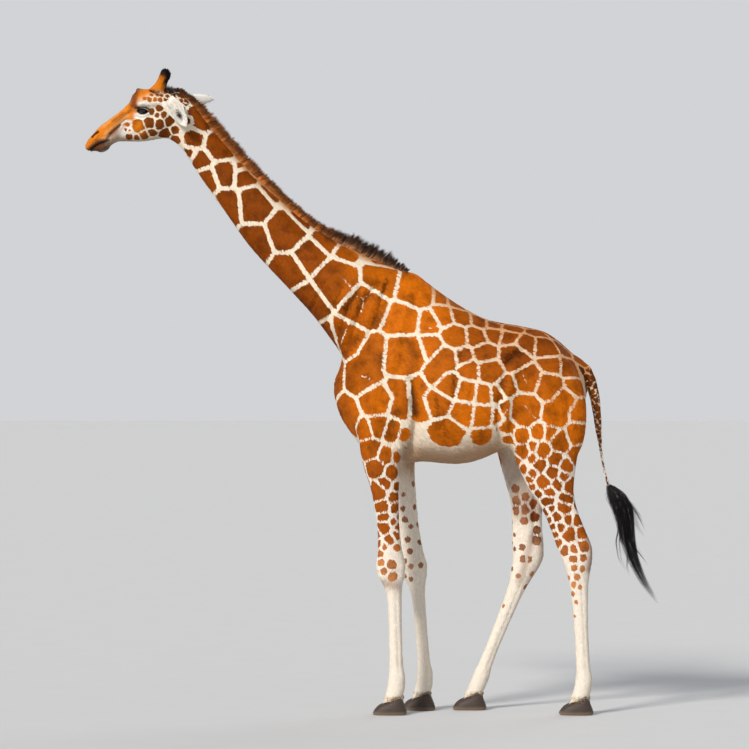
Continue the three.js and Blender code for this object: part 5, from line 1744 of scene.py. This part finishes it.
# The tassel's middle line and its reach to each side, then two wisps that part from it.
TASSEL = [
    (1.466, 0, 1.408, 0.013), (1.482, 0, 1.386, 0.034), (1.510, 0, 1.338, 0.060), (1.546, 0, 1.262, 0.068),
    (1.570, 0, 1.170, 0.056), (1.584, 0, 1.066, 0.046), (1.618, 0, 0.942, 0.036), (1.676, 0, 0.818, 0.027),
    (1.736, 0, 0.725, 0.019), (1.774, 0, 0.670, 0.004),
]
WISPS = [
    [(1.505, 0, 1.34, 0.02), (1.548, 0, 1.17, 0.026), (1.522, 0, 1.06, 0.014), (1.536, 0, 0.95, 0.010),
     (1.588, 0, 0.85, 0.004)],
    [(1.53, 0, 1.33, 0.02), (1.606, 0, 1.235, 0.026), (1.648, 0, 1.14, 0.016), (1.694, 0, 1.08, 0.005)],
    [(1.52, 0, 1.33, 0.02), (1.61, 0, 1.29, 0.014), (1.655, 0, 1.22, 0.010), (1.700, 0, 1.10, 0.004)],
    [(1.54, 0, 1.15, 0.02), (1.60, 0, 1.00, 0.02), (1.585, 0, 0.90, 0.010), (1.604, 0, 0.83, 0.004)],
    [(1.50, 0, 1.34, 0.03), (1.585, 0, 1.29, 0.03), (1.640, 0, 1.22, 0.022), (1.668, 0, 1.16, 0.010)],
    [(1.58, 0, 1.10, 0.02), (1.625, 0, 1.02, 0.02), (1.690, 0, 0.94, 0.012), (1.715, 0, 0.90, 0.004)],
]
WISP_LOCKS = (34, 26, 16, 30, 46, 18)
TASSEL_LOCKS = 640
LATE_START = 0.10  # how far down the line long locks may start
STRAND_TURNS = 2.2  # how far a lock turns about the line, and how much it waves, in radians
STRAND_WAVES = 0.3
STRAND_FLAT = 0.8  # how far locks reach to the sides, and up and down, for one metre to the front
STRAND_SLANT = 0.25
TASSEL_STEPS = 14
TASSEL_TAPER = ([0, 0.15, 0.7, 1.0], [0.6, 1.0, 0.8, 0.08])  # along a lock, and its share of its width
TASSEL_BROWN = 0.10  # the share of its locks that are brown


def strand_spines(line, count, steps, shortest, clumps):
    """Locks that follow a line inside its reach, in clumps, each to its own length, slowly turning."""
    rungs = np.array(line)
    lengths = np.linalg.norm(np.diff(rungs[:, :3], axis=0), axis=1)
    starts = np.concatenate([[0], np.cumsum(lengths)]) / lengths.sum()
    end = rng.uniform(shortest, 1.0, (count, 1))
    begin = rng.uniform(0, LATE_START, (count, 1)) * (end > 0.5)
    share = begin + (end - begin) * np.linspace(0, 1, steps)
    centre = np.stack([np.interp(share, starts, rungs[:, k]) for k in range(3)], axis=2)
    reach = np.interp(share, starts, rungs[:, 3])
    clump = rng.integers(0, clumps, count)
    place = np.sqrt(rng.uniform(0, 1, (clumps, 1)))[clump] + rng.normal(0, 0.10, (count, 1))
    turn = rng.uniform(0, 2 * math.pi, (clumps, 1))[clump] + rng.normal(0, 0.22, (count, 1))
    turn = turn + STRAND_TURNS * share + STRAND_WAVES * np.sin(8 * share + clump[:, None])
    centre[:, :, 0] += reach * place * np.cos(turn)
    centre[:, :, 1] += STRAND_FLAT * reach * place * np.sin(turn)
    centre[:, :, 2] += STRAND_SLANT * reach * place * np.cos(turn)
    return centre


def grow_tassel():
    """The long black hair at the end of the tail, with its wisps."""
    steps = TASSEL_STEPS
    groups = [strand_spines(TASSEL, TASSEL_LOCKS, steps, 0.35, 26)]
    groups += [strand_spines(line, count, steps, 0.55, 5) for line, count in zip(WISPS, WISP_LOCKS)]
    spines = np.concatenate(groups)
    taper = np.interp(np.linspace(0, 1, steps), *TASSEL_TAPER)
    widths = taper * rng.uniform(0.0009, 0.0024, (len(spines), 1))
    tints = fade_tints((36, 30, 32), (26, 25, 30), steps, len(spines))
    brown = rng.random(len(spines)) < TASSEL_BROWN
    tints[brown] = fade_tints((70, 46, 32), (40, 28, 24), steps, int(brown.sum()))
    mesh = grow_locks("tail_hair", spines, widths, np.tile([0.2, 1.0, 0.1], (len(spines), 1)), tints)
    dress(mesh, "tail_hair", hair, ["tail_tassel"])


# ---------------------------------------------------------------- hooves
HORN_DARK = (58, 47, 41)
HORN_RING = (74, 61, 53)
HORN_WORN = (132, 112, 92)
HORN_WORN_BELOW = 0.03  # the height up to which the horn is worn, in metres


def horn_material():
    """Dark horn with faint growth rings, paler and worn at the ground."""
    material, shader = new_material("horn", 0.55, 0.3)
    links = material.node_tree.links
    rings = texture(material, "ShaderNodeTexWave", bands_direction="Z", Scale=34.0, Distortion=5.0,
                    Detail=4.0)
    tones = ramp(material, rings, [(0.0, linear(HORN_DARK)), (1.0, linear(HORN_RING))])
    place = add_node(material, "ShaderNodeTexCoord")
    apart = add_node(material, "ShaderNodeSeparateXYZ")
    links.new(place.outputs["Object"], apart.inputs[0])
    worn = soft_step(material, apart.outputs["Z"], HORN_WORN_BELOW, 0.0)
    colour = mix_colours(material, worn, tones, tuple(linear(HORN_WORN)))
    links.new(colour, shader.inputs["Base Color"])
    add_relief(material, shader, rings, 0.16, 0.002)
    return material


HOOF_VOXEL = 0.0048
HOOF_SWELL = 0.004  # the claws swell by this before they are rounded
HOOF_NARROWS = 0.10  # how much of its width a hoof loses at its top
HOOF_SINKS = 0.003
CORONET_LOCKS = 900
CORONET_SPAN = (0.082, 0.122)  # the heights that its locks grow from
CORONET_OUT = 0.010  # how far they hang out from the foot
CORONET_LIFT = 0.0028  # how far they lie above the hoof
CORONET_TIP = (206, 176, 140)


def build_hooves(body):
    """Rounded claws in place of the solids, with flat soles on the floor and hair over their tops."""
    for leg in LEGS:
        claws = [f"{leg}_claw_{claw}" for claw in ("outer", "inner")]
        mesh = remeshed(claws, HOOF_VOXEL, HOOF_SWELL)
        points = relax(points_of(mesh), edges_of(mesh), 70, 0.6)
        high = smooth(0.02, 0.11, points[:, 2])
        middle = points[:, :2].mean(axis=0)
        points[:, :2] += (middle - points[:, :2]) * (HOOF_NARROWS * high)[:, None]
        points[:, 2] = np.maximum(points[:, 2] - HOOF_SINKS, 0.0)
        set_points(mesh, points)
        mesh.shade_smooth()
        dress(mesh, f"hooves_{leg}", horn, claws)
        grow_coronet(body, leg, surface_tree(mesh))


def grow_coronet(body, leg, hoof):
    """The fringe of pale hair that hangs from the foot over the top of its claws."""
    points = body["points"]
    height = points[:, 2]
    foot = LIMBS[leg][-1]
    near = np.hypot(points[:, 0] - foot[0], points[:, 1] - foot[1]) < 0.16
    near &= (height > CORONET_SPAN[0]) & (height < CORONET_SPAN[1])
    chosen = rng.choice(np.flatnonzero(near), CORONET_LOCKS)
    out = body["normals"][chosen] * [1, 1, 0]
    roots = points[chosen]
    length = rng.uniform(0.020, 0.042, (CORONET_LOCKS, 1))
    spines = [roots]
    for share in (0.35, 0.7, 1.0):
        hanging = roots + out * CORONET_OUT * share + [0, 0, -1] * length * share
        hanging += rng.normal(0, 0.0015, roots.shape)
        laid, _ = on_skin(hoof, hanging, np.full(len(roots), CORONET_LIFT))
        spines.append(np.where((hanging[:, 2] < 0.1)[:, None], laid, hanging))
    widths = np.tile([0.0018, 0.0018, 0.0012, 0.0002], (CORONET_LOCKS, 1))
    mesh = grow_locks(f"coronet_{leg}", np.stack(spines, axis=1), widths, unit(out + [0, 0, 0.01]),
                      fade_tints(LEG_CREAM, CORONET_TIP, 4, CORONET_LOCKS))
    dress(mesh, mesh.name, hair)


# ---------------------------------------------------------------- built
coat = coat_material("coat", 0.35)
hair = tinted_material("hair", 0.5, 0.25, 0.7, 1.15)
wet = tinted_material("eye", 0.07, 0.5, 0.85, 1.1)
horn = horn_material()
body, skin_limbs, patch_cells = build_body()
grow_coat(body, skin_limbs)
for ear_name in EARS:
    ear_hair(ear_name, *build_ear(ear_name))
for head_side in (-1, 1):
    build_ossicone(head_side, patch_cells)
    build_eye(head_side)
    grow_lashes(head_side)
grow_poll(body)
grow_whiskers(body)
grow_mane(body)
grow_tassel()
build_hooves(body)


# ---------------------------------------------------------------- stage, light and camera
def soft_sun(name, source, power, angle, colour):
    """A broad, even light that comes from the way of source."""
    data = bpy.data.lights.new(name, "SUN")
    data.energy = power
    data.angle = angle
    data.color = colour
    lamp = bpy.data.objects.new(name, data)
    lamp.rotation_euler = (-Vector(source)).to_track_quat("-Z", "Y").to_euler()
    bpy.context.scene.collection.objects.link(lamp)


def studio_world():
    """Even pale walls, a little dimmer overhead."""
    world = bpy.data.worlds.new("studio")
    world.use_nodes = True
    place = add_node(world, "ShaderNodeTexCoord")
    apart = add_node(world, "ShaderNodeSeparateXYZ")
    world.node_tree.links.new(place.outputs["Generated"], apart.inputs[0])
    walls = [(0.0, (0.64, 0.65, 0.67, 1)), (0.16, (0.64, 0.65, 0.67, 1)), (0.45, (0.38, 0.40, 0.43, 1))]
    tones = ramp(world, apart.outputs["Z"], walls)
    world.node_tree.links.new(tones, world.node_tree.nodes["Background"].inputs["Color"])
    return world


FLOOR_HALF = 300.0
FLOOR_TONES = ((0.3, 0.575), (0.7, 0.585))


def build_stage():
    """A pale floor, a low warm key light from the front left and a faint cool light from behind."""
    corners = np.array([[-1, -1, 0], [1, -1, 0], [1, 1, 0], [-1, 1, 0]]) * FLOOR_HALF
    floor = new_mesh("floor", corners, [np.array([[0, 1, 2, 3]])])
    material, shader = new_material("floor", 0.8)
    tones = shades(material, texture(material, Scale=3.0, Detail=2.0), FLOOR_TONES)
    material.node_tree.links.new(tones, shader.inputs["Base Color"])
    floor.materials.append(material)
    link(floor, "floor")
    soft_sun("key", (-0.55, -0.78, 0.66), 3.05, 0.22, (1.0, 0.965, 0.91))
    soft_sun("rim", (0.55, 0.75, 0.60), 0.7, 0.6, (0.95, 0.97, 1.0))
    bpy.context.scene.world = studio_world()
    bpy.context.scene.view_settings.view_transform = "Standard"


CAMERA_DISTANCE = 22.0
CAMERA_HEIGHT = 2.027
CAMERA_X = 0.0155
LENS = 170.5
PITCH_UP = 0.17  # degrees


def build_camera():
    """A long lens, level with the chest, that sees the giraffe as the photo does."""
    data = bpy.data.cameras.new("camera")
    data.sensor_width = 36.0
    data.lens = LENS
    data.clip_end = 200.0
    camera = bpy.data.objects.new("camera", data)
    camera.location = (CAMERA_X, -CAMERA_DISTANCE, CAMERA_HEIGHT)
    camera.rotation_euler = (math.radians(90 + PITCH_UP), 0, 0)
    bpy.context.scene.collection.objects.link(camera)
    bpy.context.scene.camera = camera


build_stage()
build_camera()
